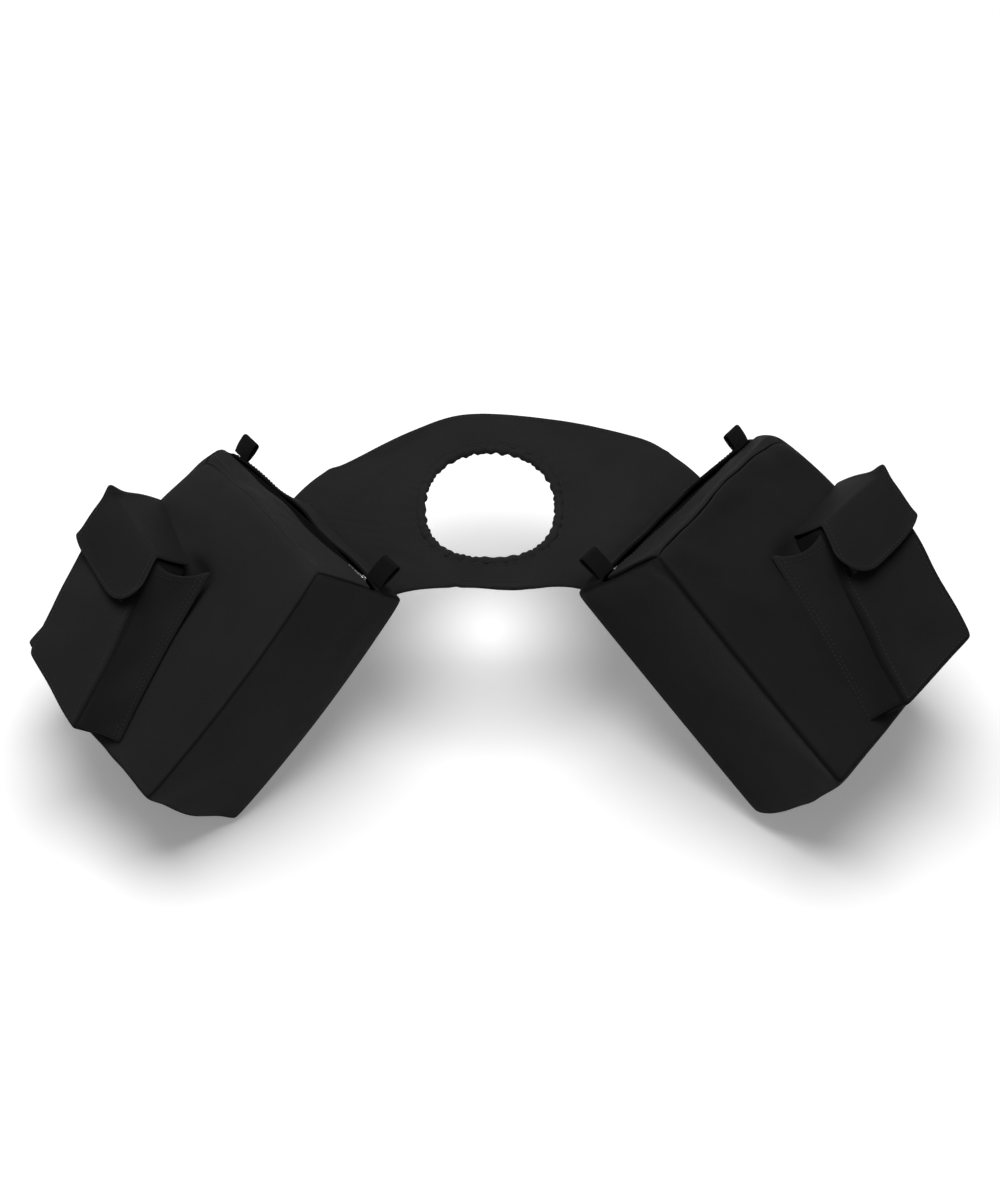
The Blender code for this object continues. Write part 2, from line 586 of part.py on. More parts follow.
def make_sleeve(pouch):
    """The open sleeve slopes from the pocket's near front edge down to a seam on the front panel."""
    def seam(b):
        t = mix(SLEEVE_SEAM_TOP[0], SLEEVE_SEAM_BOTTOM[0], b)
        u = mix(SLEEVE_SEAM_TOP[1], SLEEVE_SEAM_BOTTOM[1], b)
        return Vector((t, pouch.front_surface(t, u) + GAP, u))

    def edge(b):
        return pouch.off_face(-GAP / POCKET_SIZE[0], mix(0.03, 0.97, b), -0.0020)

    bm = bmesh.new()
    bmesh.ops.create_grid(bm, x_segments=3, y_segments=6, size=0.5)
    for vert in bm.verts:
        b = vert.co.y + 0.5
        vert.co = mix(seam(b), edge(b), vert.co.x + 0.5)
    sleeve = pouch.add("sleeve_face", bm, "canvas")
    add_thickness(sleeve, CANVAS, 1.0 if outward(sleeve) else -1.0)
    corner = pouch.off_face(-GAP / POCKET_SIZE[0], 0.97, 0.0)
    corner.y = pouch.front_surface(corner.x, corner.z) + GAP
    inner = [mix(mix(seam(1.0), edge(1.0), share), corner, 0.10) for share in (0.12, 0.90)] + [corner]
    bm = bmesh.new()
    floor = bmesh.ops.contextual_create(bm, geom=[bm.verts.new(point) for point in inner])["faces"]
    grown = bmesh.ops.extrude_face_region(bm, geom=floor)["geom"]
    raised = [item for item in grown if isinstance(item, bmesh.types.BMVert)]
    bmesh.ops.translate(bm, verts=raised, vec=(0.0, 0.0, CANVAS))
    pouch.add("sleeve_bottom", bm, "canvas")


make_yoke()
make_hem()
for side_name, side_values in SIDES.items():
    make_wing(side_name, side_values)
    one_pouch = Pouch(side_name, side_values)
    make_box(one_pouch)
    lid_hinge = make_lid(one_pouch)
    make_zip(one_pouch, lid_hinge)
    make_tab(one_pouch, "near_tab", NEAR_TAB_INSET, NEAR_TAB_HEIGHT, -TAB_TILT)
    make_tab(one_pouch, "far_tab", POUCH_WIDTH - FAR_TAB_INSET, FAR_TAB_HEIGHT, TAB_TILT)
    make_pocket(one_pouch)
    make_flap(one_pouch)
    make_sleeve(one_pouch)
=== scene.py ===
"""Saddle horn bag: the looks of a black canvas yoke with an elasticated horn hole and two zipped pouches.

Metres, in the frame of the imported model. The origin is the middle of the horn hole, on the yoke's top
face. +X is the bag's right, -Y its near side. Each pouch has its own coordinates: t runs along its seam
from the near side to the far side, d from the back panel out to the front panel, and u up to its top.
"""
import math

import bmesh
import bpy
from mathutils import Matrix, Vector, noise
from mathutils.bvhtree import BVHTree


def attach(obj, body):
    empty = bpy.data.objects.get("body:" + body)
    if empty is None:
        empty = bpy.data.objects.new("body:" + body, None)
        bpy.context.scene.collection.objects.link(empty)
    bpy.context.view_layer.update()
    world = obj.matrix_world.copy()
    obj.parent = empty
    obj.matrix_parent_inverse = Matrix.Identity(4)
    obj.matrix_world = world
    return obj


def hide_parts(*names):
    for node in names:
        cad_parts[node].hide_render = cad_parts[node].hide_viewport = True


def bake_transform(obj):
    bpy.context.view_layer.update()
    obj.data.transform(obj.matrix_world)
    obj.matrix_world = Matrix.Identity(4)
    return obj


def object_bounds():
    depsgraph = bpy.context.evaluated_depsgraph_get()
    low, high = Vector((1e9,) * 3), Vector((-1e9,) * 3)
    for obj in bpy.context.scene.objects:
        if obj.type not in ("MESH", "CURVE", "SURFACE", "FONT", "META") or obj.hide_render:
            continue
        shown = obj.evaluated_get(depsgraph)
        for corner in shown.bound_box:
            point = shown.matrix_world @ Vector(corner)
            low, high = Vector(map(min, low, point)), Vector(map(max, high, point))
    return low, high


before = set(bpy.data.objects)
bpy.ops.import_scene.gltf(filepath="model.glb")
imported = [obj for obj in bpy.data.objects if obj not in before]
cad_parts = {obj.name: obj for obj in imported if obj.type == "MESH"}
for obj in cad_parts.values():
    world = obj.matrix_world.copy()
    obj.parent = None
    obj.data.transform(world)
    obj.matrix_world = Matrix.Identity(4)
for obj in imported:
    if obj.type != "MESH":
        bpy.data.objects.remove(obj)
cad_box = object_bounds()


# ==== the camera, the floor and the light ===============================================================
# A long lens looks down on the bag from its near side. The floor is white and plain, and the light is soft:
# a bright ceiling, a weak sky all round and one faint lamp behind the bag's left pouch.
def new_object(name, data):
    thing = bpy.data.objects.new(name, data)
    bpy.context.scene.collection.objects.link(thing)
    return thing


def new_material(name):
    """A new material, its nodes and its shader."""
    material = bpy.data.materials.new(name)
    material.use_nodes = True
    return material, material.node_tree, material.node_tree.nodes["Principled BSDF"]


def set_inputs(node, values):
    for label, value in values.items():
        node.inputs[label].default_value = value


def make_camera():
    rise = math.radians(50.0)
    distance = 2.2
    up = Vector((0.0, math.sin(rise), math.cos(rise)))
    back = Vector((0.0, -math.cos(rise), math.sin(rise)))
    data = bpy.data.cameras.new("camera")
    data.lens = 75.0
    data.sensor_width = 36.0
    camera = new_object("camera", data)
    camera.location = back * distance + up * -0.08536 + Vector((0.0088, 0.0, 0.0))
    camera.rotation_euler = (math.pi / 2 - rise, 0.0, 0.0)
    bpy.context.scene.camera = camera


def make_floor():
    half = 6.0
    height = cad_box[0][2] - 0.004
    mesh = bpy.data.meshes.new("floor")
    corners = [(-half, -half, height), (half, -half, height), (half, half, height), (-half, half, height)]
    mesh.from_pydata(corners, [], [(0, 1, 2, 3)])
    floor = new_object("floor", mesh)
    paint, _, shader = new_material("floor paint")
    set_inputs(shader, {"Base Color": (0.94, 0.94, 0.94, 1.0), "Emission Color": (1.0, 1.0, 1.0, 1.0),
                        "Emission Strength": 0.20, "Roughness": 0.9, "Specular IOR Level": 0.1})
    mesh.materials.append(paint)


def make_lamp(name, place, aim, size, power):
    data = bpy.data.lights.new(name, "AREA")
    data.shape = "DISK"
    data.size = size
    data.energy = power
    lamp = new_object(name, data)
    lamp.location = place
    lamp.rotation_euler = (Vector(aim) - Vector(place)).to_track_quat("-Z", "Y").to_euler()


make_camera()
make_floor()
make_lamp("ceiling", (0.0, 0.15, 2.5), (0.0, 0.0, 0.0), 2.0, 64.0)
make_lamp("side lamp", (-1.2, 1.0, 1.5), (-0.2, 0.0, -0.05), 1.0, 4.0)
sky = bpy.data.worlds.new("sky")
sky.use_nodes = True
set_inputs(sky.node_tree.nodes["Background"], {"Color": (1.0, 1.0, 1.0, 1.0), "Strength": 0.18})
bpy.context.scene.world = sky
bpy.context.scene.view_settings.view_transform = "Standard"


# ==== canvas: the cloth of every panel ==================================================================
# Matte polyester canvas in a plain weave, 0.75 mm to the thread, dyed black. The threads are not quite even,
# the cloth is a little greyer where it is rubbed along its edges, and it puckers beside its seams. It is dark
# along its seam lines, and behind each sleeve's mouth it carries painted shade, nearly black.
CLOTH_MAP = "cloth"          # the map that holds each panel's flat pattern, in metres


def add_node(tree, kind, inputs=(), **settings):
    """A new shader node. Each of inputs is (socket, value or another node's output)."""
    node = tree.nodes.new("ShaderNode" + kind)
    for key, value in settings.items():
        setattr(node, key, value)
    for socket, value in inputs:
        if isinstance(value, bpy.types.NodeSocket):
            tree.links.new(value, node.inputs[socket])
        else:
            node.inputs[socket].default_value = value
    return node


def sum_node(tree, operation, a, b=0.0):
    """The output of a Math node."""
    return add_node(tree, "Math", [(0, a), (1, b)], operation=operation).outputs[0]


def mix_colours(tree, factor, a, b):
    """The output of a node that mixes two colours, each (r, g, b) or another node's output."""
    a, b = [end if isinstance(end, bpy.types.NodeSocket) else (*end, 1.0) for end in (a, b)]
    return add_node(tree, "Mix", [("Factor", factor), (6, a), (7, b)], data_type="RGBA").outputs[2]


def scaled(shade, factor):
    return [channel * factor for channel in shade]


def new_group(name, inputs, outputs):
    """An empty node group with the float inputs {name: default} and the float outputs named."""
    group = bpy.data.node_groups.new(name, "ShaderNodeTree")
    for label, default in inputs.items():
        socket = group.interface.new_socket(label, in_out="INPUT", socket_type="NodeSocketFloat")
        socket.default_value = default
    for label in outputs:
        group.interface.new_socket(label, in_out="OUTPUT", socket_type="NodeSocketFloat")
    return group, group.nodes.new("NodeGroupInput").outputs, group.nodes.new("NodeGroupOutput").inputs


def make_plain_weave():
    """Height and tone of a plain weave: warp and weft pass over each other at every thread."""
    group, given, result = new_group("plain weave", {"Threads": 1300.0, "Slub": 0.5}, ["Height", "Tone"])
    flat = add_node(group, "UVMap", uv_map=CLOTH_MAP).outputs["UV"]
    wobble = add_node(group, "TexNoise", [("Vector", flat), ("Scale", 60.0), ("Detail", 1.0)]).outputs[0]
    flat = add_node(group, "SeparateXYZ", [(0, flat)]).outputs
    waves = []
    for axis in (0, 1):
        run = sum_node(group, "MULTIPLY", flat[axis], given["Threads"])
        turn = sum_node(group, "MULTIPLY", sum_node(group, "ADD", run, wobble), math.pi)
        waves.append(sum_node(group, "COSINE", turn))
    warp, weft = [sum_node(group, "POWER", sum_node(group, "ABSOLUTE", wave), 0.7) for wave in waves]
    over = sum_node(group, "MULTIPLY_ADD", sum_node(group, "MULTIPLY", *waves), 0.5)
    over.node.inputs[2].default_value = 0.5
    high = add_node(group, "Mix", [("Factor", over), ("A", weft), ("B", warp)], data_type="FLOAT").outputs[0]
    place = add_node(group, "TexCoord").outputs["Object"]
    slub = add_node(group, "TexNoise", [("Vector", place), ("Scale", 900.0), ("Detail", 2.0)]).outputs[0]
    uneven = sum_node(group, "MULTIPLY", sum_node(group, "SUBTRACT", slub, 0.5), given["Slub"])
    group.links.new(sum_node(group, "ADD", high, uneven), result["Height"])
    group.links.new(sum_node(group, "ADD", sum_node(group, "MULTIPLY", high, 0.5), uneven), result["Tone"])
    return group


def make_rubbed():
    """Where the cloth is rubbed and dusty: along edges, which carry the value worn, and in soft patches."""
    group, given, result = new_group("rubbed and dusty", {"Edge": 0.5, "Patches": 0.5}, ["Mask", "Pucker"])
    worn = add_node(group, "Attribute", attribute_name="worn").outputs["Fac"]
    place = add_node(group, "TexCoord").outputs["Object"]
    fine = add_node(group, "TexNoise", [("Vector", place), ("Scale", 160.0), ("Detail", 3.0)]).outputs[0]
    broad = add_node(group, "TexNoise", [("Vector", place), ("Scale", 14.0), ("Detail", 2.0)]).outputs[0]
    pucker = sum_node(group, "MULTIPLY", worn, fine)
    edge = sum_node(group, "MULTIPLY", pucker, given["Edge"])
    patch = sum_node(group, "MULTIPLY", sum_node(group, "SUBTRACT", broad, 0.35), given["Patches"])
    group.links.new(sum_node(group, "ADD", edge, patch), result["Mask"])
    group.links.new(pucker, result["Pucker"])
    return group


plain_weave = make_plain_weave()
rubbed = make_rubbed()


def cloth_material(name, shade, rubbed_shade, threads, depth, roughness=0.88, sheen=0.012):
    """Woven cloth: lighter on the threads' crowns and where rubbed; seam darkens seam lines and paints shade
    behind sleeves.
    """
    material, tree, shader = new_material(name)
    set_inputs(shader, {"Specular IOR Level": 0.05, "Sheen Weight": sheen, "Sheen Roughness": 0.45})
    weave = add_node(tree, "Group", [("Threads", threads)], node_tree=plain_weave).outputs
    wear = add_node(tree, "Group", node_tree=rubbed).outputs
    thread = mix_colours(tree, weave["Tone"], scaled(shade, 0.62), scaled(shade, 1.45))
    tint = mix_colours(tree, wear["Mask"], thread, rubbed_shade)
    # seam: dark seam lines, and on the pouch fronts painted shade behind each sleeve's mouth.
    seam_and_painted_shade = add_node(tree, "Attribute", attribute_name="seam").outputs["Fac"]
    tree.links.new(mix_colours(tree, seam_and_painted_shade, tint, scaled(shade, 0.12)), shader.inputs["Base Color"])
    rough = add_node(tree, "Math", [(0, weave["Tone"]), (1, -0.12), (2, roughness + 0.06)],
                     operation="MULTIPLY_ADD")
    tree.links.new(rough.outputs[0], shader.inputs["Roughness"])
    grain = add_node(tree, "Bump", [("Height", weave["Height"]), ("Distance", depth), ("Strength", 0.7)])
    pucker = add_node(tree, "Bump", [("Height", wear["Pucker"]), ("Distance", 0.0008),
                                     ("Normal", grain.outputs[0])])
    tree.links.new(pucker.outputs[0], shader.inputs["Normal"])
    return material


canvas = cloth_material("black canvas", (0.0170, 0.0168, 0.0172), (0.030, 0.0295, 0.0295), 1330.0, 0.00025)
lining_cloth = cloth_material("coated lining", (0.012, 0.012, 0.0125), (0.02, 0.02, 0.02), 2600.0, 0.0001,
                              roughness=0.7)


# ==== the yoke: the padded middle =======================================================================
# Canvas over thin foam and a coated lining, cut with a straight near edge and a curved far edge, and sewn
# round. It lies over the saddle, creased where it has been folded, and is quilted by its own stitches.
SEAM_HEADING = math.radians(49.8)
HORN_HALF_X = 0.0565
HORN_HALF_Y = 0.0635
HEM_RADIUS = 0.0042
YOKE_THICKNESS = 0.0060
YOKE_NEAR_EDGE = -0.0955
BEND_RADIUS = 0.085
WING_LENGTH = 0.085
WING_STEPS = 20
YOKE_FAR_EDGE = [(0.134, 0.081), (0.063, 0.1025), (-0.0185, 0.1105), (-0.0715, 0.089), (-0.128, 0.050)]
# How each side lies: its angle below level, where its top back edge is, how far the empty pouch sinks in
# at its far top front corner, how its near side bellies low down and bows, how deep its front is dented at
# the sleeve's mouth, and the corners (t, d, u) of its flap pocket.
SIDES = {
    "left": {"mirror": -1, "hang": math.radians(38.0), "seam_out": 0.1230, "seam_start": -0.0276,
             "seam_z": -0.0085, "yoke_far": 0.127, "far_pinch": 0.62, "far_drop": 0.016,
             "low_belly": 0.004, "back_bow": 0.0065, "mouth_dent": 0.013,
             "near_top": (0.126, 0.143, -0.090), "far_top": (0.211, 0.134, -0.083),
             "near_bottom": (0.075, 0.165, -0.238), "far_bottom": (0.164, 0.160, -0.223)},
    "right": {"mirror": 1, "hang": math.radians(34.0), "seam_out": 0.1213, "seam_start": -0.0214,
              "seam_z": -0.0073, "yoke_far": 0.153, "far_pinch": 0.52, "far_drop": 0.009,
              "low_belly": 0.010, "back_bow": 0.0010, "mouth_dent": 0.007,
              "near_top": (0.136, 0.141, -0.082), "far_top": (0.223, 0.136, -0.088),
              "near_bottom": (0.073, 0.165, -0.233), "far_bottom": (0.168, 0.165, -0.232)},
}


def mix(a, b, share):
    return a + (b - a) * share


def ease(value):
    """0 below 0, 1 above 1, and smooth between."""
    value = min(max(value, 0.0), 1.0)
    return value * value * (3.0 - 2.0 * value)


def signed_power(value, power):
    return math.copysign(abs(value) ** power, value)


def side_axes(side):
    """A side's level directions: along its seam to the far side, and out from the horn hole."""
    mirror = side["mirror"]
    along = Vector((mirror * math.cos(SEAM_HEADING), math.sin(SEAM_HEADING), 0.0))
    out = Vector((mirror * math.sin(SEAM_HEADING), -math.cos(SEAM_HEADING), 0.0))
    return along, out


def fold_distance(side):
    """How far from the horn hole the yoke starts to bend, so that its wing ends flat on the pouch."""
    sine, cosine = math.sin(side["hang"]), math.cos(side["hang"])
    back_plane = side["seam_out"] * sine + side["seam_z"] * cosine
    return (back_plane - BEND_RADIUS * (1 - cosine)) / sine


def hole_point(angle, outset):
    """A point round the horn hole, outset from its free edge."""
    squareness = 2.0 / 2.1 if math.sin(angle) > 0 else 2.0 / 2.5
    cosine, sine = math.cos(angle), math.sin(angle)
    half_y = HORN_HALF_Y - (0.002 if sine < 0 else 0.0)
    return Vector(((HORN_HALF_X + outset) * signed_power(cosine, squareness),
                   (half_y + outset) * signed_power(sine, squareness), 0.0))


def smooth_line(points, steps):
    """A Catmull-Rom curve through points, with steps spans between each two."""
    padded = [points[0] * 2 - points[1]] + points + [points[-1] * 2 - points[-2]]
    line = []
    for p0, p1, p2, p3 in zip(padded, padded[1:], padded[2:], padded[3:]):
        for k in range(steps):
            x = k / steps
            line.append(0.5 * (2 * p1 + (p2 - p0) * x + (2 * p0 - 5 * p1 + 4 * p2 - p3) * x * x
                               + (3 * p1 - p0 - 3 * p2 + p3) * x ** 3))
    return line + [points[-1]]


def unevenness(point, wave, height, seed=0.0):
    """The soft ups and downs of hand-sewn cloth."""
    return noise.noise(Vector(point) / wave + Vector((seed, seed * 0.7, 0.0))) * height


def make_sheet(name, material, rows, columns, shape, pattern, closed=False):
    """A sheet of quads: shape(a, b) gives its points and pattern(a, b) its flat cut, both in metres."""
    mesh = bpy.data.meshes.new(name)
    round_it = columns if closed else columns + 1
    verts = [shape(i / rows, j / columns) for i in range(rows + 1) for j in range(round_it)]
    faces, flats = [], []
    for i in range(rows):
        for j in range(columns):
            after = (j + 1) % round_it
            faces.append((i * round_it + j, i * round_it + after, (i + 1) * round_it + after,
                          (i + 1) * round_it + j))
            flats += [(i, j), (i, j + 1), (i + 1, j + 1), (i + 1, j)]
    mesh.from_pydata(verts, [], faces)
    layer = mesh.uv_layers.new(name=CLOTH_MAP)
    for loop, (i, j) in zip(layer.data, flats):
        loop.uv = pattern(i / rows, j / columns)
    mesh.materials.append(material)
    return new_object(name, mesh)


def mark_worn(piece, worn):
    """Stores the value worn, from 0 to 1, for every vertex of piece."""
    layer = piece.data.attributes.new("worn", "FLOAT", "POINT")
    for vert in piece.data.vertices:
        layer.data[vert.index].value = worn(vert.co)


def apply_all(piece):
    """Applies the piece's modifiers and shades it smooth."""
    shown = piece.evaluated_get(bpy.context.evaluated_depsgraph_get())
    mesh = bpy.data.meshes.new_from_object(shown)
    piece.modifiers.clear()
    piece.data = mesh
    for face in mesh.polygons:
        face.use_smooth = True


def thicken(piece, thickness, levels=1, inside=None, offset=-1.0):
    """Gives a sheet its thickness, behind its face by default, and rounds it."""
    shell = piece.modifiers.new("thickness", "SOLIDIFY")
    shell.thickness = thickness
    shell.offset = offset
    if inside:
        piece.data.materials.append(inside)
        shell.material_offset = 1
    if levels:
        piece.modifiers.new("rounding", "SUBSURF").levels = levels
        piece.modifiers["rounding"].render_levels = levels
    apply_all(piece)


def near_end_of_fold(side):
    """How far along the fold the yoke's near edge crosses it."""
    along, out = side_axes(side)
    return (YOKE_NEAR_EDGE - out.y * fold_distance(side)) / along.y


def yoke_corners():
    corners = []
    for side in (SIDES["right"], SIDES["left"]):
        along, out = side_axes(side)
        corners.append([out * fold_distance(side) + along * s
                        for s in (near_end_of_fold(side), side["yoke_far"])])
    return corners


def yoke_outline():
    """The yoke's outline between its folds, anticlockwise from the near end of the right fold."""
    right, left = yoke_corners()
    middle = [Vector((x, y, 0.0)) * 1.012 for x, y in YOKE_FAR_EDGE]
    far_edge = smooth_line([right[1]] + middle + [left[1]], 6)
    return [right[0]] + far_edge + [left[0]]


def outline_reach(outline, angle):
    """How far the outline is from the middle of the horn hole in the direction angle."""
    aim = Vector((math.cos(angle), math.sin(angle), 0.0))
    best = 0.0
    for a, b in zip(outline, outline[1:] + outline[:1]):
        run = b - a
        cross = aim.x * run.y - aim.y * run.x
        if abs(cross) > 1e-12:
            far = (a.x * run.y - a.y * run.x) / cross
            share = (a.x * aim.y - a.y * aim.x) / cross
            if far > 0 and -1e-6 <= share <= 1 + 1e-6:
                best = max(best, far)
    return best


# The creases of the yoke: two ends (x, y), width and depth, in metres.
YOKE_CREASES = [
    ((-0.150, 0.010), (-0.060, 0.085), 0.006, 0.0026),
    ((-0.128, -0.020), (-0.085, 0.050), 0.005, 0.0022),
    ((-0.150, 0.035), (-0.100, 0.060), 0.005, 0.0020),
    ((-0.118, -0.040), (-0.100, 0.012), 0.005, 0.0016),
    ((0.075, 0.020), (0.150, 0.085), 0.009, 0.0016),
    ((0.060, -0.070), (0.110, -0.030), 0.008, 0.0014),
    ((-0.060, -0.070), (-0.095, -0.055), 0.006, 0.0014),
]


def crease_depth(point):
    total = 0.0
    for start, end, width, depth in YOKE_CREASES:
        a, b = Vector((*start, 0.0)), Vector((*end, 0.0))
        share = (point - a).dot(b - a) / (b - a).length_squared
        away = (point - mix(a, b, min(max(share, 0.0), 1.0))).length
        total += depth * math.exp(-(away / width) ** 2)
    return total


def yoke_ribs(point):
    """Fine ribs where the foam has buckled beside the left pouch."""
    middle = Vector((-0.128, -0.005, 0.0))
    away = (point - middle).length / 0.045
    return 0.0009 * math.exp(-away * away) * math.sin((point.x * 0.9 + point.y * 0.25) * 2 * math.pi / 0.0062)


def yoke_height(point):
    """The height of the yoke's face, which is level but for its creases."""
    hole = (point.x / HORN_HALF_X) ** 2 + (point.y / HORN_HALF_Y) ** 2
    gather = math.exp(-max(hole - 1.25, 0.0) * 2.2)
    turn = math.atan2(point.y, point.x)
    ruffle = 0.0009 * gather * math.sin(turn * 46 + 2.0 * math.sin(turn * 5))
    return (unevenness(point, 0.055, 0.0030) + unevenness(point, 0.016, 0.0007, 3.0)
            - crease_depth(point) + yoke_ribs(point) + ruffle)


def wing_point(side, share, run, depth=0.0):
    """A point of the wing past the fold: share runs from its near edge to its far edge."""
    along, out = side_axes(side)
    fold, hang = fold_distance(side), side["hang"]
    arc = BEND_RADIUS * hang
    turned = min(run / BEND_RADIUS, hang)
    past = max(run - arc, 0.0)
    distance = fold + (BEND_RADIUS + depth) * math.sin(turned) + past * math.cos(hang)
    height = (BEND_RADIUS + depth) * math.cos(turned) - BEND_RADIUS - past * math.sin(hang)
    near = mix(near_end_of_fold(side), side["seam_start"] + 0.002, min(run / 0.045, 1.0))
    near += 0.007 * ease(run / 0.035)
    return out * distance + along * mix(near, side["yoke_far"], share) + Vector((0.0, 0.0, height))


def split_off(whole, name, wanted):
    """A copy of the faces of whole for which wanted(face) is true."""
    bm = bmesh.new()
    bm.from_mesh(whole.data)
    bm.faces.ensure_lookup_table()
    bmesh.ops.delete(bm, geom=[face for face in bm.faces if not wanted(face)], context="FACES")
    mesh = bpy.data.meshes.new(name)
    bm.to_mesh(mesh)
    bm.free()
    for material in whole.data.materials:
        mesh.materials.append(material)
    return new_object(name, mesh)


def make_yoke():
    """Draws the yoke and its wings as one sheet of quads, rounds it, and parts it at the folds."""
    outline = yoke_outline()
    corners = yoke_corners()
    key_angles = sorted(math.atan2(p.y, p.x) % (2 * math.pi) for pair in corners for p in pair)
    angles = []
    for start, end in zip(key_angles, key_angles[1:] + [key_angles[0] + 2 * math.pi]):
        count = max(int((end - start) / math.radians(2.0)), 2)
        angles += [mix(start, end, k / count) for k in range(count)]
    rings, spokes = 22, len(angles)
    bm = bmesh.new()
    flat_map = bm.loops.layers.uv.new(CLOTH_MAP)
    worn = bm.verts.layers.float.new("worn")
    flat_of = {}

    def add_vertex(point, flat, wear):
        vert = bm.verts.new(point)
        vert[worn] = wear
        flat_of[vert] = flat
        return vert

    def add_face(ring):
        face = bm.faces.new(ring)
        for loop in face.loops:
            loop[flat_map].uv = flat_of[loop.vert]

    # A spoke is on a fold where its outer end lies on the line between that fold's two ends.
    outer_ends, on_fold = [], []
    for angle in angles:
        end = Vector((math.cos(angle), math.sin(angle), 0.0)) * outline_reach(outline, angle)
        outer_ends.append(end)
        on_fold.append([name for name, side in SIDES.items()
                        if abs(end.dot(side_axes(side)[1]) - fold_distance(side)) < 0.0001])
    spoke_rows = []
    for k, angle in enumerate(angles):
        inner = hole_point(angle, HEM_RADIUS * 1.2)
        row = []
        for j in range(rings + 1):
            point = mix(inner, outer_ends[k], j / rings)
            away = (outer_ends[k] - point).length
            edge = 0.0 if on_fold[k] else math.exp(-away / 0.004)
            height = yoke_height(point) * (1.0 - edge) - 0.0012 * edge - 0.0006
            wear = 0.8 * math.exp(-abs(point.y - YOKE_NEAR_EDGE) / 0.006)
            row.append(add_vertex(point + Vector((0.0, 0.0, height)), point.xy, wear))
        spoke_rows.append(row)
    for k in range(spokes):
        first, second = spoke_rows[k], spoke_rows[(k + 1) % spokes]
        for j in range(rings):
            add_face((first[j], first[j + 1], second[j + 1], second[j]))
    for name, side in SIDES.items():
        along, out = side_axes(side)
        near = near_end_of_fold(side)
        on_it = sorted((k for k in range(spokes) if name in on_fold[k]),
                       key=lambda k: outer_ends[k].dot(along))
        columns = []
        for k in on_it:
            share = (outer_ends[k].dot(along) - near) / (side["yoke_far"] - near)
            base = yoke_height(outer_ends[k])
            column = [spoke_rows[k][-1]]
            for i in range(1, WING_STEPS + 1):
                run = WING_LENGTH * i / WING_STEPS
                point = wing_point(side, share, run)
                edge = math.exp(-min(share, 1.0 - share) * 40)
                calm = 1.0 - ease((run - 0.022) / 0.022)
                lift = mix(yoke_height(point), base, 1.0 - ease(run / 0.012)) * (1.0 - edge) * calm
                flat = (outer_ends[k] + out * run).xy
                column.append(add_vertex(wing_point(side, share, run, lift - 0.0006 - 0.0012 * edge),
                                         flat, 0.6 * edge))
            columns.append(column)
        for first, second in zip(columns, columns[1:]):
            for i in range(WING_STEPS):
                ring = [first[i], second[i], second[i + 1], first[i + 1]]
                add_face(ring if side["mirror"] < 0 else ring[::-1])
    bmesh.ops.recalc_face_normals(bm, faces=bm.faces)
    if sum(face.normal.z for face in bm.faces) < 0:
        bmesh.ops.reverse_faces(bm, faces=bm.faces)
    mesh = bpy.data.meshes.new("yoke_and_wings")
    bm.to_mesh(mesh)
    bm.free()
    mesh.materials.append(canvas)
    whole = new_object("yoke_and_wings", mesh)
    thicken(whole, YOKE_THICKNESS - 0.0008, 1, lining_cloth)

    def past_fold(face, side):
        return face.calc_center_median().dot(side_axes(side)[1]) > fold_distance(side)

    yoke = split_off(whole, "yoke", lambda face: not any(past_fold(face, side) for side in SIDES.values()))
    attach(yoke, "yoke")
    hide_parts("yoke_top_panel", "yoke_foam", "yoke_lining")
    pieces = [yoke]
    for name, side in SIDES.items():
        out = side_axes(side)[1]
        start = out * (fold_distance(side) + 0.001)
        wing = split_off(whole, f"{name}_wing", lambda face: past_fold(face, side))
        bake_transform(wing)
        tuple(start)
        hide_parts(f"{name}_wing_panel", f"{name}_wing_lining")
        pieces.append(wing)
    bpy.data.objects.remove(whole)
    for piece in pieces:
        for face in piece.data.polygons:
            face.use_smooth = True
    return pieces


yoke, left_wing, right_wing = make_yoke()


# ==== the hem of the horn hole ==========================================================================
# A canvas casing sewn round the hole, with braided elastic run through it, which gathers it into small
# uneven pleats.
def make_hem():
    open_half = math.radians(146)

    def shape(a, b):
        angle, turn = 2 * math.pi * b, mix(-open_half, open_half, a)
        wave = math.sin(angle * 52 + 2.4 * math.sin(angle * 7) + 1.3 * math.sin(angle * 3))
        radius = HEM_RADIUS * (1.0 + 0.10 * wave + 0.07 * math.sin(angle * 23 + 1.0))
        lean = 0.0004 * math.sin(angle * 31 + 2.0 * math.sin(angle * 4))
        ring = hole_point(angle, HEM_RADIUS - radius * math.cos(turn) + lean)
        return ring + Vector((0.0, 0.0, 0.95 * radius * math.sin(turn) - YOKE_THICKNESS / 2 + lean))

    around = 2 * math.pi * (HORN_HALF_X + HORN_HALF_Y) / 2
    casing = 2 * open_half * HEM_RADIUS
    hem = make_sheet("horn_hole_casing", canvas, 12, 520, shape,
                     lambda a, b: (a * casing, b * around * 1.3), closed=True)
    mark_worn(hem, lambda point: 0.35)
    apply_all(hem)
    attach(hem, "yoke")
    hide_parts("horn_hole_hem", "horn_hole_elastic")


make_hem()


